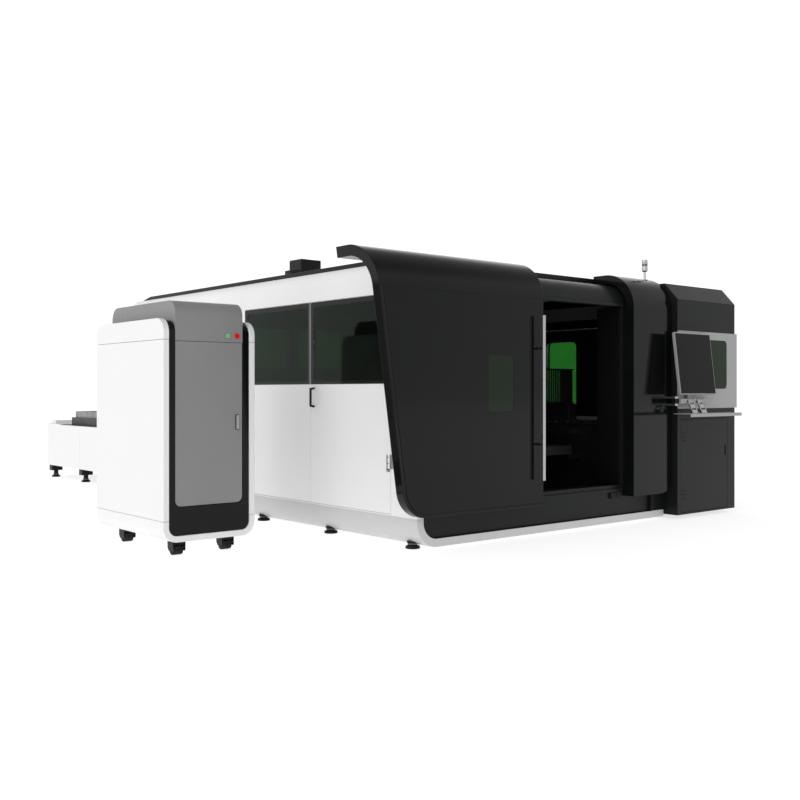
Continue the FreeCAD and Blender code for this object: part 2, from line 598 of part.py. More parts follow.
side_doors = {"front": ("side_front", "side_seam - seam / 2", "side_front", "+"),
              "rear": ("side_seam + seam / 2", "side_rear", "side_rear", "-")}
for place, (front, rear, hinge_edge, sign) in side_doors.items():
    finish(f"side_door_{place}", [fused(f"side_door_{place}_leafed", [
        side_leaf(f"side_door_{place}_leaf", front, rear),
        *hinge_leaf(f"side_leaf_{place}", hinge_edge, sign)])])
    finish(f"side_glass_{place}", [panel(
        f"side_pane_{place}", "yz", (f"{front} + side_stile", f"{rear} - side_stile"),
        ("side_glass_bottom", "side_top - side_rail"), ("seam", "seam + pane"), "side_glass_round")])

pull_y = "side_seam - pull_inset"
pull_back = "-pull_standoff + pull_radius"
finish("side_door_handle", [profile("pull", "xz", [
    ("0", "pull_bottom"), ("-pull_standoff - pull_radius", "pull_bottom + pull_radius"),
    ("-pull_standoff - pull_radius", "pull_top - pull_radius"), ("0", "pull_top"),
    ("0", "pull_top - pull_radius * 2"), (pull_back, "pull_top - pull_radius * 3"),
    (pull_back, "pull_bottom + pull_radius * 3"), ("0", "pull_bottom + pull_radius * 2")],
    (f"{pull_y} - pull_radius", f"{pull_y} + pull_radius"))])

knuckles = []
for edge, sign in (("side_front", "-"), ("side_rear", "+")):
    for low in ("knuckle_low", "knuckle_high"):
        pin_y = f"{edge} {sign} seam"
        knuckles.append(fused(f"knuckle_{edge}_{low}", [
            rod(f"pin_{edge}_{low}", "z", ("-pin_offset", pin_y), (low, f"{low} + knuckle_length"),
                "pin_radius"),
            block(f"fixed_leaf_{edge}_{low}", ("-pin_offset", "0"),
                  (f"{pin_y} - leaf_width", pin_y) if sign == "-" else (pin_y, f"{pin_y} + leaf_width"),
                  (low, f"{low} + knuckle_length"))]))

swing_ears = []
for number, low in enumerate(("swing_low", "swing_high - swing_ear")):
    swing_ears.append(fused(f"swing_ear_{number}", [
        block(f"swing_ear_plate_{number}", ("swing_x - swing_sleeve", "swing_x + swing_sleeve"),
              ("swing_y", "hood_front"), (low, f"{low} + swing_ear")),
        rod(f"swing_ear_eye_{number}", "z", ("swing_x", "swing_y"), (low, f"{low} + swing_ear"),
            "swing_sleeve")]))
swing_pin = rod("swing_rod", "z", ("swing_x", "swing_y"),
                ("swing_low + swing_ear", "swing_high - swing_ear"), "swing_pin")
finish("hinge_fittings", [*knuckles, fused("swing_bracket", [*swing_ears, swing_pin])])


# ---------------------------------------------------------------- feet

feet = []
for number in range(int(sheet.get("foot_count"))):
    foot_y = f"foot_first + foot_pitch * {number}"
    for side, foot_x in (("left", "foot_inset"), ("right", "shell_width - foot_inset")):
        feet.append(fused(f"foot_{side}_{number}", [
            prism(f"foot_pad_{side}_{number}", "z", (foot_x, foot_y), ("0", "foot_pad"), "foot_radius",
                  FOOT_SIDES),
            prism(f"foot_stem_{side}_{number}", "z", (foot_x, foot_y),
                  ("0", "pan_underside + foot_stem_overlap"), "foot_stem_radius")]))
finish("machine_feet", [cut("feet_cut", grouped("feet", feet), [pan_outline("pan_block", False)])])


# ---------------------------------------------------------------- the bed and the gantry

bed_low = "pan_underside + shell_wall"
beams = []
for side, (left, right) in zip(("left", "right"), both_sides("beam_inset", "beam_width")):
    outer = block(f"bed_beam_{side}", (left, right), ("bed_front", "bed_rear"), (bed_low, "bed_height"))
    beams.append(outer)
ties = []
for number in range(int(sheet.get("tie_count"))):
    tie_y = f"bed_front + (bed_rear - bed_front - tie_width) * {number} / (tie_count - 1)"
    ties.append(block(f"bed_tie_{number}",
                      ("beam_inset + beam_width", "shell_width - beam_inset - beam_width"),
                      (tie_y, f"{tie_y} + tie_width"), ("tie_low", "tie_high")))
finish("bed_frame", [fused("bed_weldment", [*beams, *ties])])

rails = []
for kind, inset, width in (("rail", "rail_inset", "rail_width"), ("rack", "rack_inset", "rack_width")):
    for side, span in zip(("left", "right"), both_sides(inset, width)):
        rails.append(block(f"gantry_{kind}_{side}", span, ("bed_front", "bed_rear"),
                           ("bed_height", "bed_height + rail_height")))
finish("linear_rails", rails)

block_low = "bed_height + rail_height + running_gap"
beam_front = "gantry_front + pleat_depth"
beam_back = "gantry_front + pleat_depth + gantry_depth"
beam_box = cut("beam_tube", block("beam_outer", ("gantry_block_inset", "shell_width - gantry_block_inset"),
                                  (beam_front, beam_back), ("gantry_low", "gantry_high")),
               [block("beam_bore", ("gantry_block_inset - seam", "shell_width - gantry_block_inset + seam"),
                      (f"{beam_front} + beam_wall", f"{beam_back} - beam_wall"),
                      ("gantry_low + beam_wall", "gantry_high - beam_wall"))])
block_front = f"{beam_front} - gantry_block_lead"
end_blocks = [block(f"gantry_block_{side}", span, (block_front, f"{block_front} + gantry_block_length"),
                    (block_low, "gantry_low"))
              for side, span in zip(("left", "right"),
                                    both_sides("gantry_block_inset", "gantry_block_width"))]
beam_rails = [block(f"beam_rail_{number}", ("gantry_block_inset", "shell_width - gantry_block_inset"),
                    (beam_back, f"{beam_back} + beam_rail_depth"), (low, f"{low} + beam_rail_width"))
              for number, low in enumerate(("carriage_low + beam_rail_width",
                                            "gantry_high - beam_rail_drop"))]
finish("gantry_beam", [fused("gantry_weldment", [beam_box, *end_blocks, *beam_rails])])

pleat_valley = "gantry_front + pleat_depth - pleat_web"
pleats = profile("pleats", "xy",
                 [("pleat_inset", beam_front), ("pleat_inset", pleat_valley),
                  ("pleat_inset + pleat_pitch / 2", "gantry_front"),
                  ("pleat_inset + pleat_pitch", pleat_valley), ("pleat_inset + pleat_pitch", beam_front)],
                 ("gantry_low + beam_wall", "gantry_high - beam_wall"))
pleat_row = pleats.newObject("PartDesign::LinearPattern", "pleat_row")
pleat_row.Originals = [pleats.Tip]
pleat_row.Direction = (next(feature for feature in pleats.Origin.OriginFeatures
                            if feature.Role == "X_Axis"), [""])
pleat_row.setExpression("Occurrences", formula("pleat_count"))
pleat_row.setExpression("Length", formula("pleat_pitch * (pleat_count - 1)"))
pleats.Tip = pleat_row
finish("beam_cover", [pleats])

carriage_front = f"{beam_back} + beam_rail_depth + running_gap"
carriage_back = f"{carriage_front} + carriage_depth"
finish("carriage", [block("carriage_box", ("carriage_left", "carriage_left + carriage_width"),
                          (carriage_front, carriage_back), ("carriage_low", "carriage_high"))])
head_x = "carriage_left + carriage_width / 2"
head_front = f"{carriage_back} + running_gap"
head_y = f"{head_front} + head_depth / 2"
finish("cutting_head", [fused("head", [
    block("head_body", (f"{head_x} - head_width / 2", f"{head_x} + head_width / 2"),
          (head_front, f"{head_front} + head_depth"), ("head_bottom", "head_top")),
    prism("head_barrel", "z", (head_x, head_y), ("cone_top", "head_bottom"), "barrel_radius", BAR_SIDES),
    cone("head_cone", (head_x, head_y), ("nozzle_bottom", "cone_top"), "nozzle_radius", "cone_radius")])])


# ---------------------------------------------------------------- pallets and the exchange table

def pallet(name, near, track):
    """A slatted pallet: an open frame with upright slats standing across it."""
    low = f"{track} + running_gap"
    far = f"{near} + pallet_length"
    outer = block(name + "_outer", ("pallet_side", "shell_width - pallet_side"), (near, far),
                  (low, f"{low} + pallet_frame"))
    inner = block(name + "_inner",
                  ("pallet_side + pallet_frame", "shell_width - pallet_side - pallet_frame"),
                  (f"{near} + pallet_frame", f"{far} - pallet_frame"),
                  (f"{low} - seam", f"{low} + pallet_frame + seam"))
    frame = cut(name + "_ring", outer, [inner])
    slats = []
    for number in range(int(sheet.get("slat_count"))):
        slat_y = f"{near} + pallet_frame + (pallet_length - pallet_frame * 2) * ({number} + 0.5) / slat_count"
        slats.append(block(f"{name}_slat_{number}",
                           ("pallet_side + slat_seat", "shell_width - pallet_side - slat_seat"),
                           (f"{slat_y} - slat_plate / 2", f"{slat_y} + slat_plate / 2"),
                           (f"{low} + pallet_frame", f"{track} + pallet_tall")))
    return [frame, *slats]


finish("pallet_upper", pallet("upper", "pallet_outside", "upper_track"))
finish("pallet_lower", pallet("lower", "pallet_inside", "lower_track"))

inner_ledge = "pallet_side - beam_inset - beam_width + pallet_frame"
tracks = []
for side, ledge, rail in zip(("left", "right"), both_sides("beam_inset + beam_width", f"({inner_ledge})"),
                             both_sides("track_side", "track_width")):
    for level, tall in (("upper_track", "track_tall"), ("lower_track", "lower_track_tall")):
        tracks.append(block(f"inner_{level}_{side}", ledge, ("pallet_inside", "bed_rear"),
                            (f"{level} - ledge_tall", level)))
        tracks.append(block(f"outer_{level}_{side}", rail, ("bed_rear", "track_end"),
                            (f"{level} - {tall}", level)))
finish("pallet_tracks", tracks)

table_frame = []
post_places = [f"shell_depth + (table_length - table_plate - table_beam) * {number} / (table_tie_count - 1)"
               for number in range(int(sheet.get("table_tie_count")))]
for side, span in zip(("left", "right"), both_sides("table_side + table_plate", "table_beam")):
    for level, (low, high) in enumerate((("table_bottom", "table_bottom + table_beam"),
                                         ("table_top - table_beam", "table_top"))):
        table_frame.append(block(f"table_beam_{side}_{level}", span,
                                 ("shell_depth", "table_end - table_plate"), (low, high)))
    for number, post_y in enumerate(post_places):
        table_frame.append(block(f"table_post_{side}_{number}", span, (post_y, f"{post_y} + table_beam"),
                                 ("table_bottom", "table_top")))
    rail_span = both_sides("track_side", "track_width")[0 if side == "left" else 1]
    shelf = ((span[1], rail_span[1]) if side == "left" else (rail_span[0], span[0]))
    for level, tall in (("upper_track", "track_tall"), ("lower_track", "lower_track_tall")):
        table_frame.append(block(f"table_shelf_{side}_{level}", shelf, ("shell_depth", "track_end"),
                                 (f"{level} - {tall} - shelf_plate", f"{level} - {tall}")))
for number, post_y in enumerate(post_places):
    table_frame.append(block(f"table_tie_{number}",
                             ("table_side + table_plate", "shell_width - table_side - table_plate"),
                             (post_y, f"{post_y} + table_beam"),
                             ("table_bottom", "table_bottom + table_tie_tall")))
finish("exchange_frame", [fused("table_weldment", table_frame)])

side_skins = [block(f"table_skin_{side}", span, ("shell_depth", "table_end"), ("table_bottom", "table_top"))
              for side, span in zip(("left", "right"), both_sides("table_side", "table_plate"))]
end_skin = block("table_end_skin", ("table_side", "shell_width - table_side"),
                 ("table_end - table_plate", "table_end"), ("table_bottom", "table_top"))
end_lid = block("table_end_lid", ("table_side", "shell_width - table_side"),
                ("track_end + seam", "table_end"), ("table_top", "table_top + cap_strip"))
hatch_left = "table_side + table_plate"
hatch_top = "table_top + cap_strip + hatch_tall"
hatch = profile("table_hatch", "yz",
                [("table_end - hatch_depth - table_plate", "table_top + cap_strip"),
                 ("table_end - table_plate", "table_top + cap_strip"),
                 ("table_end - table_plate", "table_top + cap_strip + hatch_tall - hatch_slope"),
                 ("table_end - table_plate - hatch_slope", hatch_top),
                 ("table_end - hatch_depth - table_plate + hatch_slope", hatch_top)],
                (hatch_left, f"{hatch_left} + hatch_width"))
finish("exchange_panels", [fused("table_skins", [*side_skins, end_skin, end_lid, hatch])])

table_feet = []
for number in range(int(sheet.get("table_tie_count"))):
    foot_y = f"shell_depth + table_foot_first + table_foot_pitch * {number}"
    for side, foot_x in (("left", "table_side + table_foot_inset"),
                         ("right", "shell_width - table_side - table_foot_inset")):
        table_feet.append(fused(f"table_foot_{side}_{number}", [
            prism(f"table_pad_{side}_{number}", "z", (foot_x, foot_y), ("0", "table_foot_pad"),
                  "table_foot_radius", FOOT_SIDES),
            prism(f"table_stem_{side}_{number}", "z", (foot_x, foot_y), ("0", "table_bottom"),
                  "table_foot_stem")]))
finish("exchange_feet", table_feet)

drive_centre = ("table_end - table_plate - table_beam / 2", "table_bottom + table_tie_tall + drive_rise")
finish("exchange_drive", [fused("drive", [
    prism("drive_shaft", "x", drive_centre,
          ("table_side + table_plate + table_beam", "shell_width - table_side - table_plate - table_beam"),
          "shaft_radius"),
    prism("drive_motor", "x", drive_centre,
          ("(shell_width - motor_length) / 2", "(shell_width + motor_length) / 2"), "motor_radius",
          BAR_SIDES),
    *[prism(f"drive_sprocket_{number}", "x", drive_centre, span, "sprocket_radius", BAR_SIDES)
      for number, span in enumerate(both_sides("track_side", "sprocket_width"))]])])


# ---------------------------------------------------------------- the control console

console_left = "shell_width"
console_right = "shell_width + console_width"
console_corners = [("console_front", "console_plinth"),
                   ("console_front", "console_top - console_chamfer_tall"),
                   ("console_front + console_chamfer_depth", "console_top"),
                   ("console_rear", "console_top"), ("console_rear", "console_plinth")]
console_cavity = block("console_cavity",
                       ("shell_width + console_door_left", "shell_width + console_door_right"),
                       ("console_front - seam", "console_rear - console_wall"),
                       ("console_door_bottom", "console_door_top"))
plinth = block("console_plinth_box", ("shell_width + console_wall", f"{console_right} - console_wall"),
               ("console_front + console_wall", "console_rear - console_wall"),
               ("console_bottom", "console_plinth"))
finish("console_cabinet", [cut("console_cut", fused("console_box", [
    profile("console_sheet", "yz", console_corners, (console_left, console_right)), plinth]),
    [console_cavity])])
door_gap_left = "shell_width + console_door_left + hinge_gap"
door_gap_right = "shell_width + console_door_right - seam"
finish("console_door", [block("console_leaf", (door_gap_left, door_gap_right),
                              ("console_front", "console_front + console_door_plate"),
                              ("console_door_bottom + seam", "console_door_top - seam"))])
fascia_front = "console_front - fascia_plate"
display_hole = panel("display_hole", "xz", ("shell_width + display_left", "shell_width + display_right"),
                     ("display_bottom", "display_top"), (f"{fascia_front} - seam", "console_front + seam"),
                     "display_round")
finish("console_fascia", [cut("fascia_cut", block(
    "fascia_sheet", ("shell_width - fascia_side", f"{console_right} + fascia_side"),
    (fascia_front, "console_front"), ("fascia_bottom", "fascia_top")), [display_hole])])
finish("console_window", [panel("display_pane", "xz",
                                ("shell_width + display_left", "shell_width + display_right"),
                                ("display_bottom", "display_top"),
                                (f"{fascia_front} + display_recess", "console_front"), "display_round")])
drives = []
for number in range(int(sheet.get("drive_count"))):
    drive_left = f"shell_width + console_door_left + drive_inset + drive_pitch * {number}"
    drives.append(block(f"drive_unit_{number}", (drive_left, f"{drive_left} + drive_width"),
                        ("console_rear - console_wall - drive_depth", "console_rear - console_wall"),
                        ("console_door_bottom + drive_foot_rise",
                         "console_door_bottom + drive_foot_rise + drive_tall")))
finish("drive_modules", drives)


# ---------------------------------------------------------------- the operator's station

sleeve = cut("arm_sleeve", rod("arm_sleeve_rod", "z", ("swing_x", "swing_y"),
                               ("swing_low + swing_ear + hinge_gap", "swing_high - swing_ear - hinge_gap"),
                               "swing_sleeve"),
             [rod("arm_sleeve_bore", "z", ("swing_x", "swing_y"), ("swing_low", "swing_high"),
                  "swing_pin + hinge_gap")])
arm_bar = block("arm_bar", ("swing_x + swing_pin + pin_radius", "bar_right"),
                ("swing_y - bar_depth", "swing_y + bar_back"), ("bar_low", "bar_high"))
struts = []
for number, first in enumerate(("strut_first", "strut_second")):
    struts.append(profile(f"strut_{number}", "yz",
                          [("swing_y - bar_depth", "bar_high"), ("tray_front + tray_lip", "tray_top"),
                           ("tray_front + tray_lip + strut_plate", "tray_top"),
                           ("swing_y - bar_depth", "bar_high - strut_root")],
                          (first, f"{first} + strut_width")))
post_left = "(screen_left + screen_right - post_width) / 2"
post_right = "(screen_left + screen_right + post_width) / 2"
post = block("screen_post", (post_left, post_right),
             ("swing_y + bar_back - post_depth", "swing_y + bar_back"), ("bar_high", "tilt_z"))
pivot = rod("tilt_rod", "x", ("tilt_y", "tilt_z"), (f"{post_left} - tilt_lug", f"{post_right} + tilt_lug"),
            "tilt_radius")
pivot_boss = block("tilt_boss", (post_left, post_right), ("tilt_y - boss_front", "swing_y + bar_back"),
                   ("tilt_z - tilt_lug", "tilt_z + boss_rise"))
finish("station_arm", [fused("arm_weldment", [sleeve, arm_bar, *struts, post, pivot, pivot_boss])])

tray_low = "tray_top - tray_plate"
finish("keyboard_tray", [fused("tray", [
    block("tray_sheet", ("tray_left", "tray_right"), ("tray_front", "tray_rear"), (tray_low, "tray_top")),
    block("tray_lip_strip", ("tray_left", "tray_right"), ("tray_front", "tray_front + tray_plate"),
          ("tray_top - tray_lip", "tray_top"))])])

screen = cut("screen_case",
             block("screen_block", ("screen_left", "screen_right"), ("0", "screen_depth"),
                   ("0", "screen_tall")),
             [block("screen_face", ("screen_left + screen_frame", "screen_right - screen_frame"),
                    ("-seam", "screen_recess"), ("screen_frame", "screen_tall - screen_frame"))])
screen.Placement = FreeCAD.Placement(FreeCAD.Vector(), FreeCAD.Rotation(FreeCAD.Vector(-1, 0, 0), 1))
screen.setExpression("Placement.Base.y", formula("screen_front"))
screen.setExpression("Placement.Base.z", formula("screen_foot"))
screen.setExpression("Placement.Rotation.Angle", formula("screen_lean"))
lugs = [block(f"tilt_lug_{number}", span, ("tilt_y - tilt_lug_front", "tilt_y + tilt_lug_back"),
              ("tilt_z - tilt_lug", "tilt_z + tilt_lug"))
        for number, span in enumerate(((f"{post_left} - tilt_lug", f"{post_left} - hinge_gap"),
                                       (f"{post_right} + hinge_gap", f"{post_right} + tilt_lug")))]
lug_bore = rod("tilt_bore", "x", ("tilt_y", "tilt_z"),
               (f"{post_left} - tilt_lug * 2", f"{post_right} + tilt_lug * 2"), "tilt_radius + hinge_gap")
finish("monitor", [cut("monitor_bored", fused("monitor_case", [screen, *lugs]), [lug_bore])])


# ---------------------------------------------------------------- the laser source cabinet

cover_left = "source_left + cover_plate"
cover_right = "source_right - cover_plate"


def cabinet_side(name, front, rear, low, high, radius):
    """The outline of the cabinet seen from its side: upright, with round shoulders."""
    return profile(name, "yz", [(front, low), (rear, low), (rear, high), (front, high)],
                   ("source_left", "source_right"), [(radius, (2, 3))])


def cabinet_cradle(name, left, right, low, high, inner_low, plates, radii):
    """A bent U open at the top, seen from the front, with round lower corners inside and out."""
    inner_left, inner_right = f"({left}) + {plates}", f"({right}) - {plates}"
    corners = [(left, high), (left, low), (right, low), (right, high),
               (inner_right, high), (inner_right, inner_low), (inner_left, inner_low), (inner_left, high)]
    return profile(name, "xz", corners, ("source_front", "source_rear"),
                   [(radii[0], (1, 2)), (radii[1], (5, 6))])


cover_inner_low = "cover_bottom + cover_sill"
finish("source_covers", [common(
    "covers_bent",
    cabinet_cradle("cover_cradle", "source_left", "source_right", "cover_bottom", "cover_top",
                   cover_inner_low, "cover_plate", ("cover_round", "cover_round - cover_plate")),
    cabinet_side("cover_side", "source_front", "source_rear", "cover_bottom", "cover_top", "cover_round"))])

band_front = "source_front + band_setback"
core_left = f"{cover_left} + band_width"
core_right = f"{cover_right} - band_width"
core_front = "source_front + core_setback"
band_top = "cover_top - band_setback"
finish("source_bezel", [common(
    "band_bent",
    cabinet_cradle("band_cradle", cover_left, cover_right, cover_inner_low, band_top, "band_bottom",
                   "band_width", ("cover_round - cover_plate", "core_corner")),
    cabinet_side("band_side", band_front, "source_rear - band_setback", cover_inner_low, band_top,
                 "cover_round - band_setback"))])

core_block = common(
    "core_block",
    cabinet_side("core_side", core_front, "core_rear", "band_bottom", "core_top", "core_round"),
    profile("core_outline", "xz", [(core_left, "core_top"), (core_left, "band_bottom"),
                                   (core_right, "band_bottom"), (core_right, "core_top")],
            ("source_front", "source_rear"), [("core_corner", (1, 2))]))
core_cavity = block("core_cavity", (f"{core_left} + core_wall", f"{core_right} - core_wall"),
                    (f"{core_front} + source_door_plate + seam", "core_rear - core_wall"),
                    ("band_bottom + core_wall", "cap_bottom - core_wall"))
core_mouth = block("core_mouth", (core_left, core_right),
                   (f"{core_front} - seam", f"{core_front} + source_door_plate + seam"),
                   ("band_bottom", "cap_bottom"))
button_x = f"{core_right} - button_column"
button_bore = rod("button_bore", "y", (button_x, "signal_height"),
                  (f"{core_front} - seam", f"{core_front} + button_bore_depth"),
                  "button_radius + running_gap")
finish("source_core", [cut("core_cut", core_block, [core_cavity, core_mouth, button_bore])])

leaf_left, leaf_right = f"{core_left} + hinge_gap", f"{core_right} - seam"
leaf_low, leaf_high = "band_bottom + seam", "cap_bottom - seam"
finish("source_door", [profile(
    "source_leaf", "xz", [(leaf_left, leaf_high), (leaf_left, leaf_low), (leaf_right, leaf_low),
                          (leaf_right, leaf_high)],
    (core_front, f"{core_front} + source_door_plate"), [("core_corner", (1, 2))])])
latch_x = f"{core_right} - latch_column"
finish("source_lock", [panel("latch", "xz", (f"{latch_x} - latch_width / 2", f"{latch_x} + latch_width / 2"),
                             ("latch_bottom", "latch_top"),
                             (f"{core_front} - running_gap - latch_proud", f"{core_front} - running_gap"),
                             "latch_round")])
finish("stop_button", [prism("stop_cap", "y", (button_x, "signal_height"),
                             (f"{core_front} - button_proud", f"{core_front} + button_proud"),
                             "button_radius", ROUND_SIDES)])
finish("green_lamp", [prism("signal_lens", "y", (f"{core_right} - lamp_column", "signal_height"),
                            (f"{core_front} - signal_proud", core_front), "signal_radius", ROUND_SIDES)])
modules = []
for number in range(int(sheet.get("module_count"))):
    module_low = f"band_bottom + core_wall + module_pitch * {number}"
    modules.append(block(f"laser_block_{number}",
                         (f"{core_left} + core_wall + module_inset",
                          f"{core_right} - core_wall - module_inset"),
                         (f"{core_front} + source_door_plate + seam + module_setback",
                          "core_rear - core_wall"), (module_low, f"{module_low} + module_tall")))
finish("laser_module", modules)


# ---------------------------------------------------------------- castors

castor_places = [(across, along) for along in ("castor_front", "castor_back")
                 for across in ("castor_x", "castor_x + castor_span")]
for number, (castor_at, castor_y) in enumerate(castor_places, start=1):
    axle_y = f"{castor_y} + castor_trail"
    cheek = "(wheel_width / 2 + fork_gap)"
    plate_top = "cover_bottom - running_gap"
    fork_left, fork_right = f"{castor_at} - {cheek} - fork_plate", f"{castor_at} + {cheek} + fork_plate"
    plate = block(f"fork_top_{number}", (fork_left, fork_right),
                  (f"{castor_y} - fork_round", f"{castor_y} + fork_round"),
                  (f"{plate_top} - fork_top_plate", plate_top))
    cheeks = [profile(f"fork_cheek_{number}_{side}", "yz",
                      [(f"{castor_y} - fork_round", plate_top),
                       (f"{axle_y} - fork_toe", "wheel_radius - fork_toe"),
                       (f"{axle_y} + fork_toe", "wheel_radius - fork_toe"),
                       (f"{castor_y} + fork_round", plate_top)], span)
              for side, span in (("left", (fork_left, f"{castor_at} - {cheek}")),
                                 ("right", (f"{castor_at} + {cheek}", fork_right)))]
    axle = prism(f"axle_{number}", "x", (axle_y, "wheel_radius"), (fork_left, fork_right), "axle_radius")
    finish(f"castor_fork_{number}", [fused(f"fork_{number}", [plate, *cheeks, axle])])
    tyre = prism(f"tyre_{number}", "x", (axle_y, "wheel_radius"),
                 (f"{castor_at} - wheel_width / 2", f"{castor_at} + wheel_width / 2"), "wheel_radius",
                 ROUND_SIDES)
    bore = prism(f"wheel_bore_{number}", "x", (axle_y, "wheel_radius"),
                 (f"{castor_at} - wheel_width", f"{castor_at} + wheel_width"), "axle_radius + axle_gap",
                 BAR_SIDES)
    finish(f"castor_wheel_{number}", [cut(f"wheel_{number}", tyre, [bore])])


# ---------------------------------------------------------------- checks and export

document.recompute()
for item in document.Objects:
    if "Invalid" in item.State or "Error" in item.State:
        raise RuntimeError(f"{item.Name} could not be built: {item.State}")
for part in finished:
    if part.Shape.isNull() or not part.Shape.isValid():
        raise RuntimeError(f"{part.Label} has no valid shape")
os.makedirs("parts", exist_ok=True)
for part in finished:
    part.Shape.exportStep(f"parts/{part.Label}.step")
print("wrote", len(finished), "sub-parts")
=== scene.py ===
"""The looks of a fibre laser cutting machine: a closed chamber with a curved sliding door, an exchange
table behind it, a control console with its operator's station, and a laser source cabinet on castors.

Lengths are in millimetres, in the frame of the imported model; they turn to metres where a mesh, a modifier
or a node tree takes them. Only the studio and the camera are set in metres.
"""
import json
import math

import bmesh
import bpy
from mathutils import Matrix, Vector


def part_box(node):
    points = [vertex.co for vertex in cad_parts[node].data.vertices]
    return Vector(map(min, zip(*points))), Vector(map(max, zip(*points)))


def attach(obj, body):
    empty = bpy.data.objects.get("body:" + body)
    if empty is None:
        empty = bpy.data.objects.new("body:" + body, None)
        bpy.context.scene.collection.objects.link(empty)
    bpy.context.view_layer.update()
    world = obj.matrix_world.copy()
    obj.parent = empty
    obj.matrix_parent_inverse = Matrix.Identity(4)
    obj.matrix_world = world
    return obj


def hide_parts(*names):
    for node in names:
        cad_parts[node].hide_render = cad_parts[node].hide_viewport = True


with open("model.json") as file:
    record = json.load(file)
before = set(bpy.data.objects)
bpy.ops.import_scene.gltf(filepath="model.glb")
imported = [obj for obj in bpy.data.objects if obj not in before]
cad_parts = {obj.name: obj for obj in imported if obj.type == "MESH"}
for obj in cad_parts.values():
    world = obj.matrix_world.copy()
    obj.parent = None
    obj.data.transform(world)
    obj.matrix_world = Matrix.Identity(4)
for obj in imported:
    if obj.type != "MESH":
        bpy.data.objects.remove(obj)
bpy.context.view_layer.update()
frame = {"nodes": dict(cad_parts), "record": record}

MM = 0.001
BODY_OF = {node: body for body, nodes in frame["record"]["behaviour"]["bodies"].items() for node in nodes}


# ---------------------------------------------------------------- finishes

def linear(colour):
    """The linear colour of an sRGB hex value such as #C0C4C8."""
    shares = [int(colour[place:place + 2], 16) / 255 for place in (1, 3, 5)]
    return [share / 12.92 if share <= 0.04045 else ((share + 0.055) / 1.055) ** 2.4
            for share in shares] + [1.0]


def add(tree, kind, inputs=None, **settings):
    """Adds a node with its settings. An input takes a value, or the output that is linked to it."""
    node = tree.nodes.new(kind)
    for name, value in settings.items():
        setattr(node, name, value)
    for socket, value in (inputs or {}).items():
        if isinstance(value, bpy.types.NodeSocket):
            tree.links.new(value, node.inputs[socket])
        else:
            node.inputs[socket].default_value = value
    return node


def surface(name, **values):
    """A new material with its shader set to the given values, and the place of each point on the piece."""
    material = bpy.data.materials.new(name)
    material.use_nodes = True
    tree = material.node_tree
    tree.nodes.clear()
    shader = add(tree, "ShaderNodeBsdfPrincipled",
                 {socket.replace("_", " "): value for socket, value in values.items()})
    add(tree, "ShaderNodeOutputMaterial", {"Surface": shader.outputs["BSDF"]})
    place = add(tree, "ShaderNodeTexCoord").outputs["Object"]
    return material, tree, shader, place


def clouds(tree, place, size, detail=2.0, stretch=(1, 1, 1)):
    """Soft noise whose patches are about one size across, drawn out along an axis by a stretch."""
    fitted_place = add(tree, "ShaderNodeMapping",
                       {"Vector": place, "Scale": [1 / (size * MM * way) for way in stretch]})
    return add(tree, "ShaderNodeTexNoise",
               {"Vector": fitted_place.outputs["Vector"], "Scale": 1.0, "Detail": detail}).outputs["Fac"]


def between(tree, factor, low, high):
    """A number that runs from low to high over the middle of a noise."""
    return add(tree, "ShaderNodeMapRange",
               {"Value": factor, "From Min": 0.3, "From Max": 0.7,
                "To Min": low, "To Max": high}).outputs["Result"]


def mixed(tree, factor, first, second):
    """A colour between two hex values."""
    ends = {6: linear(first), 7: linear(second)}
    mix = add(tree, "ShaderNodeMix", ends, data_type="RGBA")
    tree.links.new(factor, mix.inputs[0])
    return mix.outputs[2]


def bumped(tree, shader, heights):
    """Raises the surface by the sum of several noises, each with its depth."""
    normal = None
    for height, depth in heights:
        inputs = {"Height": height, "Distance": depth * MM, "Strength": 1.0}
        if normal:
            inputs["Normal"] = normal
        normal = add(tree, "ShaderNodeBump", inputs).outputs["Normal"]
    tree.links.new(normal, shader.inputs["Normal"])


def painted(name, light, dark, gloss, peel=0.02, wave=0.25, **values):
    """Sprayed and baked paint on bent sheet steel.

    The eye sees the slow waves of the sheet, the fine skin of an orange and a film that is never quite
    even. The skin's grain is 1 mm on the real paint and 12 mm here, or it would not show."""
    material, tree, shader, place = surface(name, **values)
    tree.links.new(mixed(tree, clouds(tree, place, 450), light, dark), shader.inputs["Base Color"])
    tree.links.new(between(tree, clouds(tree, place, 90, 4.0), *gloss), shader.inputs["Roughness"])
    bumped(tree, shader, [(clouds(tree, place, 700, 0.0), wave), (clouds(tree, place, 12), peel)])
    return material


def brushed(name, light, dark, gloss, stretch):
    """Aluminium brushed along one way: long hairlines 0.4 mm apart, drawn 3 mm apart so that they show."""
    material, tree, shader, place = surface(name, Metallic=1.0)
    lines = clouds(tree, place, 3, 3.0, stretch)
    tree.links.new(mixed(tree, lines, light, dark), shader.inputs["Base Color"])
    tree.links.new(between(tree, lines, *gloss), shader.inputs["Roughness"])
    bumped(tree, shader, [(lines, 0.02)])
    return material


def ground_steel():
    """Hardened steel ground bright, as on rails and pins: a mirror broken by the grinding marks."""
    material, tree, shader, place = surface("ground_steel", Metallic=1.0)
    marks = clouds(tree, place, 2, 2.0, (1, 30, 1))
    tree.links.new(mixed(tree, marks, "#B9BABC", "#9C9DA0"), shader.inputs["Base Color"])
    tree.links.new(between(tree, marks, 0.18, 0.34), shader.inputs["Roughness"])
    bumped(tree, shader, [(marks, 0.01)])
    return material


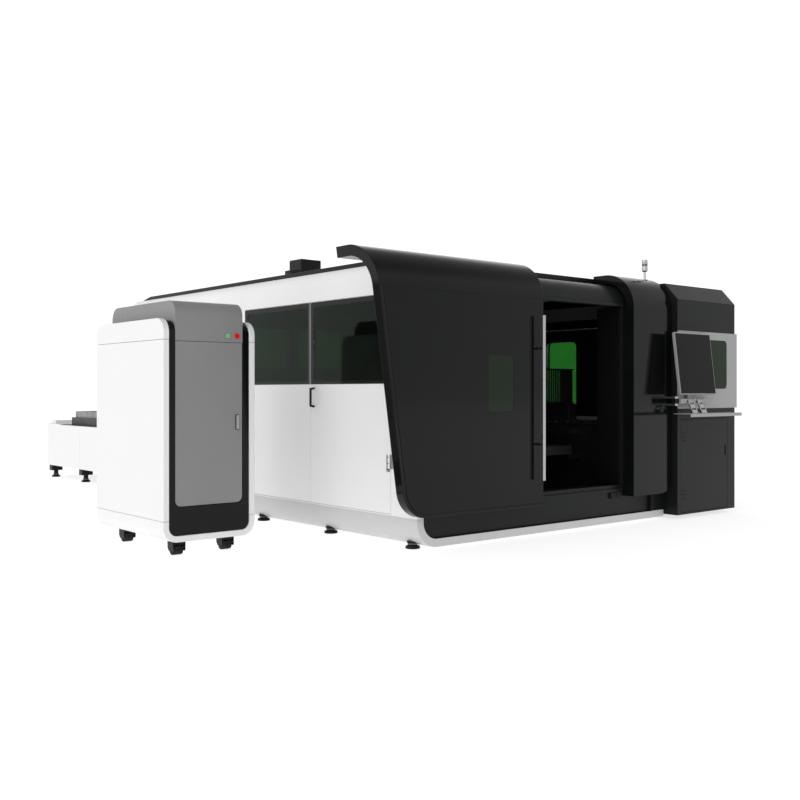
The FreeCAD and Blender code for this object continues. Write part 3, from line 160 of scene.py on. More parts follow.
def scarred_steel(name, light, dark):
    """Hot-rolled slat steel under spatter: a dull grey scale with darker burns and small hard beads."""
    material, tree, shader, place = surface(name, Metallic=0.35)
    burns = clouds(tree, place, 140, 5.0)
    tree.links.new(mixed(tree, burns, light, dark), shader.inputs["Base Color"])
    tree.links.new(between(tree, burns, 0.42, 0.7), shader.inputs["Roughness"])
    bumped(tree, shader, [(burns, 0.4), (clouds(tree, place, 9, 4.0), 0.25)])
    return material


def moulded(name, light, dark, gloss, **values):
    """Injection-moulded plastic with the faint grain of its tool, 0.5 mm on the real one, 4 mm here."""
    material, tree, shader, place = surface(name, **values)
    grain = clouds(tree, place, 4, 3.0)
    tree.links.new(mixed(tree, clouds(tree, place, 60), light, dark), shader.inputs["Base Color"])
    tree.links.new(between(tree, grain, *gloss), shader.inputs["Roughness"])
    bumped(tree, shader, [(grain, 0.03)])
    return material


def glazed(name, light, dark, gloss, transmission, index=1.49, **values):
    """Laser-safe acrylic sheet: tinted through, with a faint unevenness in its polish.

    A coated pane mirrors less than a bare one, which a lower refractive index stands for."""
    material, tree, shader, place = surface(name, Transmission_Weight=transmission, IOR=index, **values)
    tree.links.new(mixed(tree, clouds(tree, place, 300), light, dark), shader.inputs["Base Color"])
    tree.links.new(between(tree, clouds(tree, place, 120, 3.0), *gloss), shader.inputs["Roughness"])
    bumped(tree, shader, [(clouds(tree, place, 260, 0.0), 0.15)])
    return material


def coated_cloth():
    """Bellows cloth, woven polyester under a black rubber skin: a dull sheen with the weave just showing."""
    material, tree, shader, place = surface("coated_bellows_cloth", Specular_IOR_Level=0.1)
    weave = add(tree, "ShaderNodeTexWave", {"Vector": place, "Scale": 1 / (20 * MM), "Distortion": 0.5},
                bands_direction="DIAGONAL").outputs["Fac"]
    tree.links.new(mixed(tree, clouds(tree, place, 80), "#0C0D0D", "#070808"), shader.inputs["Base Color"])
    tree.links.new(between(tree, clouds(tree, place, 30), 0.5, 0.7), shader.inputs["Roughness"])
    bumped(tree, shader, [(weave, 0.05)])
    return material


def studio_floor():
    """A matt pale studio floor with the faintest mottling."""
    material, tree, shader, place = surface("studio_floor", Roughness=0.9, Emission_Strength=0.72,
                                            Emission_Color=linear("#FFFFFF"), Specular_IOR_Level=0.0)
    tree.links.new(mixed(tree, clouds(tree, place, 1500), "#C4C4C4", "#BEBEBE"), shader.inputs["Base Color"])
    return material


FINISHES = {
    "white paint": (painted("white_powder_coat", "#E7E7E7", "#E3E3E3", (0.34, 0.46),
                            Specular_IOR_Level=0.4), "white_paint"),
    # Painted shade: the pan is white paint, coloured grey here for the shade under its curved foot.
    "pan shade paint": (painted("white_coat_with_painted_pan_shade", "#C6C6C6", "#C0C0C0", (0.34, 0.46),
                          Specular_IOR_Level=0.4), "white_paint"),
    # Near-black with almost no sheen: the chamber's black lining and small black screws, and painted shade
    # where it stands for the shadow in vent slots, the pull's recess, the doorway reveal and the closed
    # chamber.
    "black lining and shade paint": (painted("black_lining_and_painted_shade", "#111112", "#0C0C0D", (0.6, 0.75), Specular_IOR_Level=0.05),
                     "black_satin"),
    # Painted highlight: green strips stand for the green window light catching the bellows' fold edges.
    "green pleat highlight": (painted("green_pleat_highlight_paint", "#35B83C", "#2C9A32", (0.5, 0.7)), "green_plastic"),
    "black enamel": (painted("black_baked_enamel", "#101112", "#0C0D0E", (0.08, 0.12), peel=0.004,
                             wave=0.06, Specular_IOR_Level=0.18), "black_gloss"),
    "black paint": (painted("black_satin_powder_coat", "#18191A", "#151617", (0.3, 0.34),
                            Specular_IOR_Level=0.15), "black_satin"),
    "strip paint": (painted("dark_grey_powder_coat", "#565656", "#4F4F4F", (0.36, 0.48)), "grey_paint"),
    "grey paint": (painted("grey_powder_coat", "#868686", "#808080", (0.36, 0.48), Specular_IOR_Level=0.4),
                   "grey_paint"),
    "bed paint": (painted("bed_enamel", "#1A1B1C", "#141516", (0.36, 0.46)), "bed_paint"),
    "slat steel": (scarred_steel("scarred_slat_steel", "#A29EA2", "#858285"), "pallet_steel"),
    # The same slat steel, much darker, for the lower pallet.
    "darker slat steel": (scarred_steel("darker_slat_steel", "#3C3A3C", "#2A292A"), "pallet_steel"),
    "silver": (brushed("brushed_aluminium", "#BCBCBD", "#ACACAE", (0.3, 0.42), (30, 1, 1)), "silver_metal"),
    "silver paint": (painted("silver_powder_coat", "#9D9D9E", "#979798", (0.3, 0.42), Metallic=0.25),
                     "silver_metal"),
    "bright steel": (ground_steel(), "bright_steel"),
    "dark glass": (glazed("smoked_laser_glass", "#2A5038", "#254731", (0.03, 0.06), 1.0, 1.22,
                          Specular_IOR_Level=0.07, Specular_Tint=linear("#D2FFDC")), "dark_glass"),
    "green glass": (glazed("green_laser_glass", "#1E5E1E", "#195319", (0.03, 0.08), 1.0), "green_glass"),
    "screen glass": (glazed("black_screen_glass", "#08090A", "#060708", (0.08, 0.14), 0.0,
                            Specular_IOR_Level=0.13), "dark_glass"),
    "display glass": (glazed("smoked_display_glass", "#172416", "#142013", (0.05, 0.1), 0.0,
                             Specular_IOR_Level=0.17), "dark_glass"),
    "rubber": (moulded("black_rubber", "#121214", "#0C0C0D", (0.55, 0.75), Specular_IOR_Level=0.3),
               "rubber_black"),
    "black plastic": (moulded("black_nylon", "#121213", "#0C0C0D", (0.3, 0.5), Specular_IOR_Level=0.2),
                      "black_plastic"),
    "red plastic": (moulded("red_button_plastic", "#F40000", "#E40000", (0.4, 0.5),
                            Specular_IOR_Level=0.08), "red_plastic"),
    "red lens": (moulded("dark_red_lens", "#6A0E10", "#560A0C", (0.12, 0.25), Coat_Weight=0.4), "red_plastic"),
    "green lens": (moulded("green_lamp_lens", "#18D23A", "#12BE31", (0.3, 0.4), Specular_IOR_Level=0.1,
                           Emission_Color=linear("#10D030"), Emission_Strength=0.3), "green_plastic"),
    "bellows cloth": (coated_cloth(), "black_plastic"),
}


# ---------------------------------------------------------------- shapes

def round_rect(low, high, radius, steps=6):
    """The corners of a rectangle whose corners are arcs, going round it once."""
    (left, bottom), (right, top) = low, high
    centres = [(right - radius, top - radius), (left + radius, top - radius),
               (left + radius, bottom + radius), (right - radius, bottom + radius)]
    return [(x + radius * math.cos(turn), y + radius * math.sin(turn))
            for quarter, (x, y) in enumerate(centres)
            for turn in [math.pi / 2 * (quarter + step / steps) for step in range(steps + 1)]]


def around(low, high, by, radius, steps=6):
    """The rounded rectangle that stands out by a distance all round two corners, or in by a negative one."""
    return round_rect([place - by for place in low], [place + by for place in high], radius, steps)


def inset(corners, distance):
    """The corners of an outline moved inwards by a distance; the outline goes round anticlockwise."""
    moved = []
    for here, point in enumerate(corners):
        before, after = Vector(corners[here - 1]), Vector(corners[(here + 1) % len(corners)])
        point = Vector(point)
        way_in, way_out = (point - before).normalized(), (after - point).normalized()
        first, second = Vector((-way_in.y, way_in.x)), Vector((-way_out.y, way_out.x))
        moved.append(tuple(point + (first + second) * distance / (1 + first.dot(second))))
    return moved


def rounded(corners, radii, steps=10):
    """An outline with an arc in place of each corner that has a radius."""
    outline = []
    for here, (point, radius) in enumerate(zip(corners, radii)):
        point = Vector(point)
        if not radius:
            outline.append(tuple(point))
            continue
        back = (Vector(corners[here - 1]) - point).normalized()
        ahead = (Vector(corners[(here + 1) % len(corners)]) - point).normalized()
        half = back.angle(ahead) / 2
        centre = point + (back + ahead).normalized() * radius / math.sin(half)
        start = point + back * radius / math.tan(half) - centre
        turn = start.angle_signed(point + ahead * radius / math.tan(half) - centre)
        for step in range(steps + 1):
            outline.append(tuple(centre + Matrix.Rotation(-turn * step / steps, 2) @ start))
    return outline


class Shape:
    """A mesh put together from blocks, plates, turned pieces and tubes."""

    def __init__(self):
        self.mesh = bmesh.new()

    def points(self, axis, outline, along):
        """The vertices of a flat outline across an axis, at one place along it."""
        order = {"x": lambda a, b: (along, a, b), "y": lambda a, b: (a, along, b),
                 "z": lambda a, b: (a, b, along)}[axis]
        return [self.mesh.verts.new([part * MM for part in order(*point)]) for point in outline]

    def plate(self, axis, outline, span):
        """A flat outline made solid between two places along an axis."""
        ends = [self.points(axis, outline, place) for place in span]
        for end in ends:
            self.mesh.faces.new(end)
        self.join(*ends)
        return self

    def join(self, first, second):
        """A band of faces between two rings with as many points."""
        for here in range(len(first)):
            after = (here + 1) % len(first)
            self.mesh.faces.new((first[here], first[after], second[after], second[here]))

    def ring(self, axis, outer, inner, span):
        """A flat frame between two outlines with as many points."""
        rings = [self.points(axis, outline, place)
                 for outline, place in ((outer, span[0]), (outer, span[1]), (inner, span[1]), (inner, span[0]))]
        for number in range(4):
            self.join(rings[number], rings[(number + 1) % 4])
        return self

    def block(self, x, y, z):
        """A box between two places on each axis."""
        return self.plate("z", [(x[0], y[0]), (x[1], y[0]), (x[1], y[1]), (x[0], y[1])], z)

    def turned(self, axis, centre, profile, sides=32):
        """A piece turned about an axis: each step of the profile is (radius, place along the axis)."""
        rings = []
        for radius, along in profile:
            turns = [2 * math.pi * (side + 0.5) / sides for side in range(sides)]
            rings.append(self.points(axis, [(centre[0] + radius * math.cos(turn),
                                             centre[1] + radius * math.sin(turn)) for turn in turns], along))
        self.mesh.faces.new(rings[0])
        self.mesh.faces.new(rings[-1])
        for first, second in zip(rings, rings[1:]):
            self.join(first, second)
        return self

    def rod(self, axis, centre, span, radius, sides=24):
        """A round bar."""
        return self.turned(axis, centre, [(radius, span[0]), (radius, span[1])], sides)

    def tilted(self, turn, centre):
        """Turns all that the shape holds so far about the X axis through a point."""
        centre = MM * Vector(centre)
        matrix = Matrix.Translation(centre) @ Matrix.Rotation(turn, 4, "X") @ Matrix.Translation(-centre)
        bmesh.ops.transform(self.mesh, matrix=matrix, verts=self.mesh.verts)
        return self

    def thing(self, name):
        """An object with the shape as its mesh."""
        bmesh.ops.recalc_face_normals(self.mesh, faces=self.mesh.faces)
        mesh = bpy.data.meshes.new(name)
        self.mesh.to_mesh(mesh)
        self.mesh.free()
        holder = bpy.data.objects.new(name, mesh)
        bpy.context.scene.collection.objects.link(holder)
        return holder


def settle(holder):
    """Turns an object and its modifiers into a plain mesh."""
    evaluated = holder.evaluated_get(bpy.context.evaluated_depsgraph_get())
    mesh = bpy.data.meshes.new_from_object(evaluated)
    holder.modifiers.clear()
    holder.data = mesh
    return holder


def carved(holder, cutters):
    """Cuts shapes out of an object."""
    for cutter in cutters:
        modifier = holder.modifiers.new("carve", "BOOLEAN")
        modifier.object = cutter
        modifier.solver = "EXACT"
    settle(holder)
    for cutter in cutters:
        bpy.data.objects.remove(cutter)
    return holder


def eased(holder, width, segments=2):
    """Rounds the sharp edges of an object a little, as paint and tools leave them."""
    for polygon in holder.data.polygons:
        polygon.use_smooth = True
    if width:
        bevel = holder.modifiers.new("ease", "BEVEL")
        bevel.width = width * MM
        bevel.segments = segments
        bevel.limit_method = "ANGLE"
        bevel.angle_limit = math.radians(35)
        bevel.miter_outer = "MITER_ARC"
    return settle(holder)


def shaded(holder, angle=35):
    """Smooth over the curves, flat on the faces and sharp at the edges."""
    holder.data.polygons.foreach_set("use_smooth", [True] * len(holder.data.polygons))
    holder.data.set_sharp_from_angle(angle=math.radians(angle))
    modifier = holder.modifiers.new("even", "WEIGHTED_NORMAL")
    modifier.keep_sharp = True
    return settle(holder)


def fitted(holder, body, finish, stands_for=()):
    """Gives an object its finish and lets it ride on a body."""
    material, slot = FINISHES[finish]
    holder.data.materials.clear()
    holder.data.materials.append(material)
    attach(holder, body)
    if stands_for:
        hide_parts(*stands_for)
    return holder


def made(shape, name, body, finish, ease=1, stands_for=(), segments=2):
    """A finished piece from a shape."""
    return fitted(shaded(eased(shape.thing(name), ease, segments)), body, finish, stands_for)


def sheet_of(node, name):
    """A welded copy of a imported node, free of the lines that cut its flat faces."""
    mesh = bmesh.new()
    mesh.from_mesh(frame["nodes"][node].data)
    bmesh.ops.remove_doubles(mesh, verts=mesh.verts, dist=0.02 * MM)
    bmesh.ops.dissolve_limit(mesh, angle_limit=math.radians(0.5), verts=mesh.verts, edges=mesh.edges)
    shape = Shape()
    shape.mesh = mesh
    return shape.thing(name)


def dressed(node, name, finish, ease=3, cutters=(), segments=2):
    """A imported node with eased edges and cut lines, in its finish."""
    holder = eased(sheet_of(node, name), ease, segments)
    if cutters:
        carved(holder, cutters)
    return fitted(shaded(holder), BODY_OF[node], finish, (node,))


def painted_as(node, finish):
    """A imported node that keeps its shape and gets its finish."""
    mesh = frame["nodes"][node].data
    mesh.materials.clear()
    mesh.materials.append(FINISHES[finish][0])


def box(node):
    """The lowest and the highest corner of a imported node."""
    return [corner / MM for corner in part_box(node)]


def low(node):
    """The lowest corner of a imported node."""
    return box(node)[0]


def high(node):
    """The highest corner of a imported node."""
    return box(node)[1]


# ---------------------------------------------------------------- what repeats

def new_tree(name, sockets):
    """An empty node tree with named inputs, and the node that hands them over."""
    tree = bpy.data.node_groups.new(name, "GeometryNodeTree")
    tree.interface.new_socket("Geometry", in_out="OUTPUT", socket_type="NodeSocketGeometry")
    for label, kind in sockets.items():
        tree.interface.new_socket(label, in_out="INPUT", socket_type="NodeSocket" + kind)
    return tree, add(tree, "NodeGroupInput").outputs


def ended(tree, geometry, finish):
    """Makes the copies real, gives them their finish and ends the tree."""
    real = add(tree, "GeometryNodeRealizeInstances", {"Geometry": geometry})
    coated = add(tree, "GeometryNodeSetMaterial", {"Geometry": real.outputs["Geometry"], "Material": finish})
    add(tree, "NodeGroupOutput", {"Geometry": coated.outputs["Geometry"]})
    return tree


def rows_tree():
    """Copies of a small piece in rows and columns."""
    tree, given = new_tree("rows", {"Item": "Object", "Count": "Int", "Columns": "Int", "First": "Vector",
                                    "Step": "Vector", "Column step": "Vector", "Finish": "Material"})
    total = add(tree, "ShaderNodeMath", {0: given["Count"], 1: given["Columns"]}, operation="MULTIPLY")
    line = add(tree, "GeometryNodePoints", {"Count": total.outputs[0]})
    index = add(tree, "GeometryNodeInputIndex").outputs[0]
    share = add(tree, "ShaderNodeMath", {0: index, 1: given["Count"]}, operation="DIVIDE")
    column = add(tree, "ShaderNodeMath", {0: share.outputs[0]}, operation="FLOOR")
    row = add(tree, "ShaderNodeMath", {0: index, 1: given["Count"]}, operation="MODULO")
    along = add(tree, "ShaderNodeVectorMath", {0: given["Step"], "Scale": row.outputs[0]}, operation="SCALE")
    across = add(tree, "ShaderNodeVectorMath", {0: given["Column step"], "Scale": column.outputs[0]},
                 operation="SCALE")
    moved = add(tree, "ShaderNodeVectorMath", {0: along.outputs[0], 1: across.outputs[0]}, operation="ADD")
    place = add(tree, "ShaderNodeVectorMath", {0: given["First"], 1: moved.outputs[0]}, operation="ADD")
    spread = add(tree, "GeometryNodeSetPosition", {"Geometry": line.outputs[0], "Position": place.outputs[0]})
    item = add(tree, "GeometryNodeObjectInfo", {"Object": given["Item"]})
    copies = add(tree, "GeometryNodeInstanceOnPoints", {"Points": spread.outputs[0],
                                                        "Instance": item.outputs["Geometry"]})
    return ended(tree, copies.outputs[0], given["Finish"])


def zigzag_tree():
    """A thin upright sheet, folded at even steps or with teeth along its top, repeated along one way."""
    tree, given = new_tree("zigzag", {"Folds": "Int", "Length": "Float", "Height": "Float",
                                      "Thickness": "Float", "Fold": "Vector", "Top only": "Bool",
                                      "Copies": "Int", "First": "Vector", "Step": "Vector",
                                      "Finish": "Material"})
    doubled = add(tree, "ShaderNodeMath", {0: given["Folds"], 1: 2.0}, operation="MULTIPLY")
    columns = add(tree, "ShaderNodeMath", {0: doubled.outputs[0], 1: 1.0}, operation="ADD")
    grid = add(tree, "GeometryNodeMeshGrid", {"Size X": given["Length"], "Size Y": given["Height"],
                                              "Vertices X": columns.outputs[0], "Vertices Y": 2})
    index = add(tree, "GeometryNodeInputIndex").outputs[0]
    halved = add(tree, "ShaderNodeMath", {0: index, 1: 2.0}, operation="DIVIDE")
    column = add(tree, "ShaderNodeMath", {0: halved.outputs[0]}, operation="FLOOR")
    odd = add(tree, "ShaderNodeMath", {0: column.outputs[0], 1: 2.0}, operation="MODULO")
    top = add(tree, "ShaderNodeMath", {0: index, 1: 2.0}, operation="MODULO")
    whole = add(tree, "ShaderNodeMath", {0: 1.0, 1: given["Top only"]}, operation="SUBTRACT")
    edge = add(tree, "ShaderNodeMath", {0: top.outputs[0], 1: whole.outputs[0]}, operation="MAXIMUM")
    chosen = add(tree, "ShaderNodeMath", {0: odd.outputs[0], 1: edge.outputs[0]}, operation="MULTIPLY")
    shift = add(tree, "ShaderNodeVectorMath", {0: given["Fold"], "Scale": chosen.outputs[0]},
                operation="SCALE")
    upright = add(tree, "GeometryNodeTransform", {"Geometry": grid.outputs["Mesh"],
                                                  "Rotation": (math.pi / 2, 0, 0)})
    folded = add(tree, "GeometryNodeSetPosition", {"Geometry": upright.outputs[0],
                                                   "Offset": shift.outputs[0]})
    depth = add(tree, "ShaderNodeCombineXYZ", {"Y": given["Thickness"]}).outputs[0]
    back = add(tree, "GeometryNodeExtrudeMesh", {"Mesh": folded.outputs[0], "Offset": depth,
                                                 "Offset Scale": 1.0, "Individual": False})
    flipped = add(tree, "GeometryNodeFlipFaces", {"Mesh": folded.outputs[0]})
    closed = add(tree, "GeometryNodeJoinGeometry")
    tree.links.new(back.outputs["Mesh"], closed.inputs[0])
    tree.links.new(flipped.outputs[0], closed.inputs[0])
    welded = add(tree, "GeometryNodeMergeByDistance", {"Geometry": closed.outputs[0], "Distance": 0.01 * MM})
    line = add(tree, "GeometryNodeMeshLine", {"Count": given["Copies"], "Start Location": given["First"],
                                              "Offset": given["Step"]})
    copies = add(tree, "GeometryNodeInstanceOnPoints", {"Points": line.outputs[0],
                                                        "Instance": welded.outputs[0]})
    return ended(tree, copies.outputs[0], given["Finish"])


ROWS, ZIGZAG = rows_tree(), zigzag_tree()


def in_metres(kind, value):
    """A length or a place as a node tree takes it; anything else stays as it is."""
    if kind == "NodeSocketFloat":
        return value * MM
    return [part * MM for part in value] if kind == "NodeSocketVector" else value


def grown(tree, name, body, finish, values, stands_for=()):
    """A piece made by a tree from its named inputs."""
    holder = bpy.data.objects.new(name, bpy.data.meshes.new(name))
    bpy.context.scene.collection.objects.link(holder)
    modifier = holder.modifiers.new("grow", "NODES")
    modifier.node_group = tree
    values = {**values, "Finish": FINISHES[finish][0]}
    for socket in tree.interface.items_tree:
        if socket.in_out == "INPUT":
            modifier[socket.identifier] = in_metres(socket.socket_type, values[socket.name])
    settle(holder)
    if "Item" in values:
        bpy.data.objects.remove(values["Item"])
    return fitted(shaded(holder), body, finish, stands_for)


def in_rows(name, body, finish, item, first, step, count, column_step=(0, 0, 0), columns=1, stands_for=()):
    """Copies of a shape in rows and columns, as one piece."""
    return grown(ROWS, name, body, finish, {
        "Item": eased(item.thing(name + "_item"), 0), "Count": count, "Columns": columns,
        "First": first, "Step": step, "Column step": column_step}, stands_for)


def screw(axis, out, radius):
    """A round-headed screw with a hexagon socket; out is 1 or -1 for the way that its head faces."""
    tall = 2.5
    return Shape().turned(axis, (0, 0), [
        (radius, -0.5 * out), (radius, tall * 0.4 * out), (radius * 0.8, tall * 0.9 * out),
        (radius * 0.55, tall * out), (radius * 0.5, tall * 0.4 * out)], 12)


def screws(name, axis, out, first, step, count, finish, column_step=(0, 0, 0), columns=1, body="machine",
           radius=5):
    """Round-headed screws in rows along a panel's edge."""
    in_rows(name, body, finish, screw(axis, out, radius), first, step, count, column_step, columns)


def bolt(axis, out, radius, tall):
    """A hexagon-headed bolt on its washer."""
    washer = Shape().turned(axis, (0, 0), [(radius * 1.35, -0.5 * out), (radius * 1.35, 1.5 * out)], 18)
    return washer.turned(axis, (0, 0), [(radius, 1.5 * out), (radius, tall * out),
                                        (radius * 0.8, (tall + 1) * out)], 6)


def louvre(axis, out, tall, span):
    """One slanted blade of a vent, proud of its panel by out at the foot and flush with it at the top."""
    return Shape().plate(axis, [(0, 0), (out, 0), (0, tall)], span)


def groove(x, y, z):
    """The cutter of a joint between two panels."""
    return Shape().block(x, y, z).thing("cutter")


def level_groove(near, far, heights):
    """The cutter of a joint that runs level, right round a box."""
    return groove((near.x - 5, far.x + 5), (near.y - 5, far.y + 5), heights)


# ---------------------------------------------------------------- the chamber's white shell

shell_low = low("base_pan")
shell_high = Vector((high("base_pan").x, high("rear_wall").y, high("left_wall").z))
WALL = 65          # from the shell's outer face to its lining
JOINT = 5          # the width of a joint between two sheets


def wall_joints(face, places):
    """The cutters of the upright joints between a wall's outer sheets."""
    return [groove((face - 4, face + 4), (place, place + JOINT), (262, 2120)) for place in places]


dressed("left_wall", "left_wall_sheet", "white paint", 4,
        wall_joints(shell_low.x, (-1420, -620, 180)))
dressed("right_wall", "right_wall_sheet", "white paint", 4,
        wall_joints(shell_high.x, (-3120, -2320, -1220, -120)))
dressed("rear_wall", "rear_wall_sheet", "white paint", 3)
# Painted shade: the pan's grey stands for the shade on its white curve.
dressed("base_pan", "base_pan_sheet", "pan shade paint", 4)
dressed("front_frame", "front_frame_sheet", "black paint", 3)
painted_as("chamber_windows", "green glass")
painted_as("roof_skylight", "green glass")


def lining(node, name, inward):
    """The dark sheet that lines one wall: the wall's inner faces, lifted off and given a thickness. Its
    near-black is partly painted shade of the closed chamber.
    """
    holder = sheet_of(node, name)
    mesh = bmesh.new()
    mesh.from_mesh(holder.data)
    inner_low, inner_high = shell_low + Vector([WALL] * 3), shell_high - Vector([WALL] * 3)
    outer = [face for face in mesh.faces
             if face.normal.dot(Vector(inward)) < 0.6
             or any(place < edge - 2 or place > far + 2 for place, edge, far in
                    zip(face.calc_center_median() / MM, inner_low, inner_high))]
    bmesh.ops.delete(mesh, geom=outer, context="FACES")
    mesh.to_mesh(holder.data)
    mesh.free()
    solidify = holder.modifiers.new("thickness", "SOLIDIFY")
    solidify.thickness = 3 * MM
    solidify.offset = 1.0
    settle(holder)
    fitted(shaded(holder), "machine", "black lining and shade paint")


lining("left_wall", "left_lining", (1, 0, 0))
lining("right_wall", "right_lining", (-1, 0, 0))
lining("rear_wall", "rear_lining", (0, -1, 0))
lining("base_pan", "floor_lining", (0, 0, 1))

inner_right = shell_high.x - WALL
made(Shape().rod("y", (inner_right - 16, 1850), (-3450, 880), 7, 16), "curtain_rail",
     "machine", "silver paint", 1)
made(Shape().block((inner_right - 45, inner_right - 4), (-3500, 890), (1940, 2075)),
     "extraction_duct", "machine", "strip paint", 6)
made(Shape().block((inner_right - 110, inner_right - 4), (-3500, 890), (790, 960)),
     "cable_trunk", "machine", "grey paint", 4)

doorway_right, doorway_heights = 1256, (360, 1990)
# Painted shade: a near-black strip down the doorway's side, where the shadow falls.
made(Shape().block((doorway_right, doorway_right + 6), (low("front_frame").y + 30, -3671), doorway_heights),
     "doorway_reveal", "machine", "black lining and shade paint", 1.5)
stop_depth, stop_heights = (-3972, -3949), (238, 296)
made(Shape().block((1085, 1155), stop_depth, stop_heights).block((1162, 1232), stop_depth, stop_heights),
     "door_stops", "machine", "rubber", 4)

pan_front, pan_right = shell_low.y, shell_high.x
# Painted shade: the same grey as the pan, standing for its shade.
made(Shape().block((pan_right - 205, pan_right - 1), (pan_front + 1, pan_front + 160),
                   (21, 85)), "pan_corner", "machine", "pan shade paint", 2)
made(Shape().block((pan_right - 205, pan_right), (pan_front - 3, pan_front + 26),
                   (85.5, 254)), "pan_corner_cover", "machine", "black paint", 1)


def window_seal(name, axis, near, far, radius, span):
    """A rubber seal that holds the edge of a pane."""
    half = 7
    outer, inner = around(near, far, half, radius + half), around(near, far, -half, radius - half)
    made(Shape().ring(axis, outer, inner, span), name, "machine", "rubber", 2)


for number, (left, right) in enumerate(((146, 846), (976, 1676)), 1):
    for side, span in (("out", (shell_high.y - 3, shell_high.y - 0.5)),
                       ("in", (shell_high.y - WALL - 8, shell_high.y - WALL))):
        window_seal(f"rear_window_seal_{number}_{side}", "y", (left, 1500), (right, 2000), 60, span)
window_seal("right_window_seal", "x", (-2965, 990), (-2545, 1730), 60,
            (inner_right - 7, inner_right))


rear_face = shell_high.y
screws("rear_wall_screws", "y", 1, (-1150, rear_face, 300), (0, 0, 300), 7, "white paint",
       (2932, 0, 0), 2, radius=7)
screws("rear_header_screws", "y", 1, (-900, rear_face, 2120), (400, 0, 0), 7, "white paint",
       radius=7)
screws("roof_edge_screws", "z", 1, (-1100, -3400, high("roof_panel").z), (0, 480, 0), 9, "black paint",
       (2832, 0, 0), 2, radius=8)


# ---------------------------------------------------------------- roof, exhaust and skylight

roof_low, roof_high = low("roof_panel"), high("roof_panel")
seams = [groove((roof_low.x - 5, roof_high.x + 5), (place, place + JOINT), (roof_high.z - 5, roof_high.z + 5))
         for place in [roof_low.y + (roof_high.y - roof_low.y) * share for share in (0.25, 0.5, 0.75)]]
dressed("roof_panel", "roof_sheet", "black paint", 4, seams)
dressed("exhaust_box", "exhaust_duct", "black paint", 4)
duct_low, duct_high = box("exhaust_box")
made(Shape().ring("z", around(duct_low.xy, duct_high.xy, 25, 4), around(duct_low.xy, duct_high.xy, -1, 2),
                  (duct_low.z, duct_low.z + 5)), "exhaust_flange", "machine", "black paint", 1)
# Painted shade: near-black blades stand for the shadow in the vent slots.
in_rows("exhaust_louvres", "machine", "black lining and shade paint",
        louvre("y", -5, 9, (duct_low.y + 20, duct_low.y + 180)),
        (duct_low.x, 0, 2300), (0, 0, 15), 5)
skylight_low, skylight_high = box("roof_skylight")
window_seal("skylight_seal", "z", skylight_low.xy, skylight_high.xy, 40,
            (roof_high.z - 2, roof_high.z + 5))


# ---------------------------------------------------------------- the curved hood

door_low, door_high = box("door_shell")
LINE_WIDTH = 6
LINE_DEPTH = 6
LINE_INSET = 25
BEND_RADIUS = 320
CORNER_RADIUS = 235
DOOR_FOOT_LEFT = door_low.x + 300
bend_start = door_high.z - BEND_RADIUS


def door_line():
    """The cutter of the fine line that runs inside the door's edge and across the start of its bend."""
    slant = (DOOR_FOOT_LEFT - door_low.x) / (door_high.z - door_low.z)
    head_left = DOOR_FOOT_LEFT - slant * (bend_start - door_low.z)
    past = door_high.x + 2 * LINE_INSET
    corners = [(DOOR_FOOT_LEFT, door_low.z), (past, door_low.z), (past, bend_start + LINE_INSET),
               (head_left, bend_start + LINE_INSET)]
    outer, inner = [rounded(inset(corners, distance), (CORNER_RADIUS - distance, 0, 0, 0))
                    for distance in (LINE_INSET, LINE_INSET + LINE_WIDTH)]
    return Shape().ring("y", outer, inner, (door_low.y - LINE_DEPTH, door_low.y + LINE_DEPTH)).thing("cutter")


dressed("door_shell", "sliding_door_skin", "black enamel", 4, [door_line()], segments=3)
dressed("right_hood", "fixed_hood_skin", "black enamel", 4, segments=3)
painted_as("door_window", "display glass")
painted_as("door_tracks", "black paint")


def door_handle():
    """A flat grip bar on two studs with collars."""
    bar_low, bar_high = box("door_handle")
    centre = (bar_low.x + bar_high.x) / 2
    face = bar_low.y
    grip = Shape().plate("z", round_rect((bar_low.x, face), (bar_high.x, face + 20), 4),
                         (bar_low.z, bar_high.z))
    made(grip, "door_grip", "sliding_door", "silver", 1.5, ("door_handle",))
    studs = Shape()
    for height in (bar_low.z + 296, bar_high.z - 272):
        studs.turned("y", (centre, height), [(8, face + 15), (8, bar_high.y - 8),
                                             (13, bar_high.y - 8), (13, bar_high.y)])
    made(studs, "door_grip_studs", "sliding_door", "black paint", 1)


door_handle()


# ---------------------------------------------------------------- the side doors

def side_door(place, way):
    """One leaf: a white plate with its glass set flush in a black band, and a bead under it.

    The way is 1 or -1, from the leaf's hinges to its free edge."""
    node, body = f"side_door_{place}", f"{place}_side_door"
    (near, far), (glass_near, glass_far) = box(node), box(f"side_glass_{place}")
    dressed(node, f"{node}_plate", "white paint", 2)
    painted_as(f"side_glass_{place}", "dark glass")
    face = shell_low.x
    band_low, edges = glass_near.z - 26, (near.y + 2, far.y - 2)
    outer = round_rect((edges[0], band_low), (edges[1], far.z - 2), 2)
    inner = round_rect(glass_near.yz, glass_far.yz, 25)
    made(Shape().ring("x", outer, inner, (face - 1, face + 4)), f"{node}_band", body, "black enamel", 0)
    made(Shape().block((face - 4, face + 1), edges, (band_low - 9, band_low)), f"{node}_bead", body,
         "white paint", 1.2)
    hinge_y = near.y if way > 0 else far.y
    leaf = Shape()
    for height in (585, 1475):
        leaf.block((face - 5, face), sorted((hinge_y + 6 * way, hinge_y + 48 * way)), (height, height + 135))
    made(leaf, f"{node}_hinge_leaves", body, "bright steel", 1.5)
    for number, height in enumerate((605, 1495), 1):
        screws(f"{node}_hinge_screws_{number}", "x", -1, (face - 5, hinge_y + 18 * way, height),
               (0, 0, 48), 3, "black lining and shade paint", (0, 18 * way, 0), 2, body)


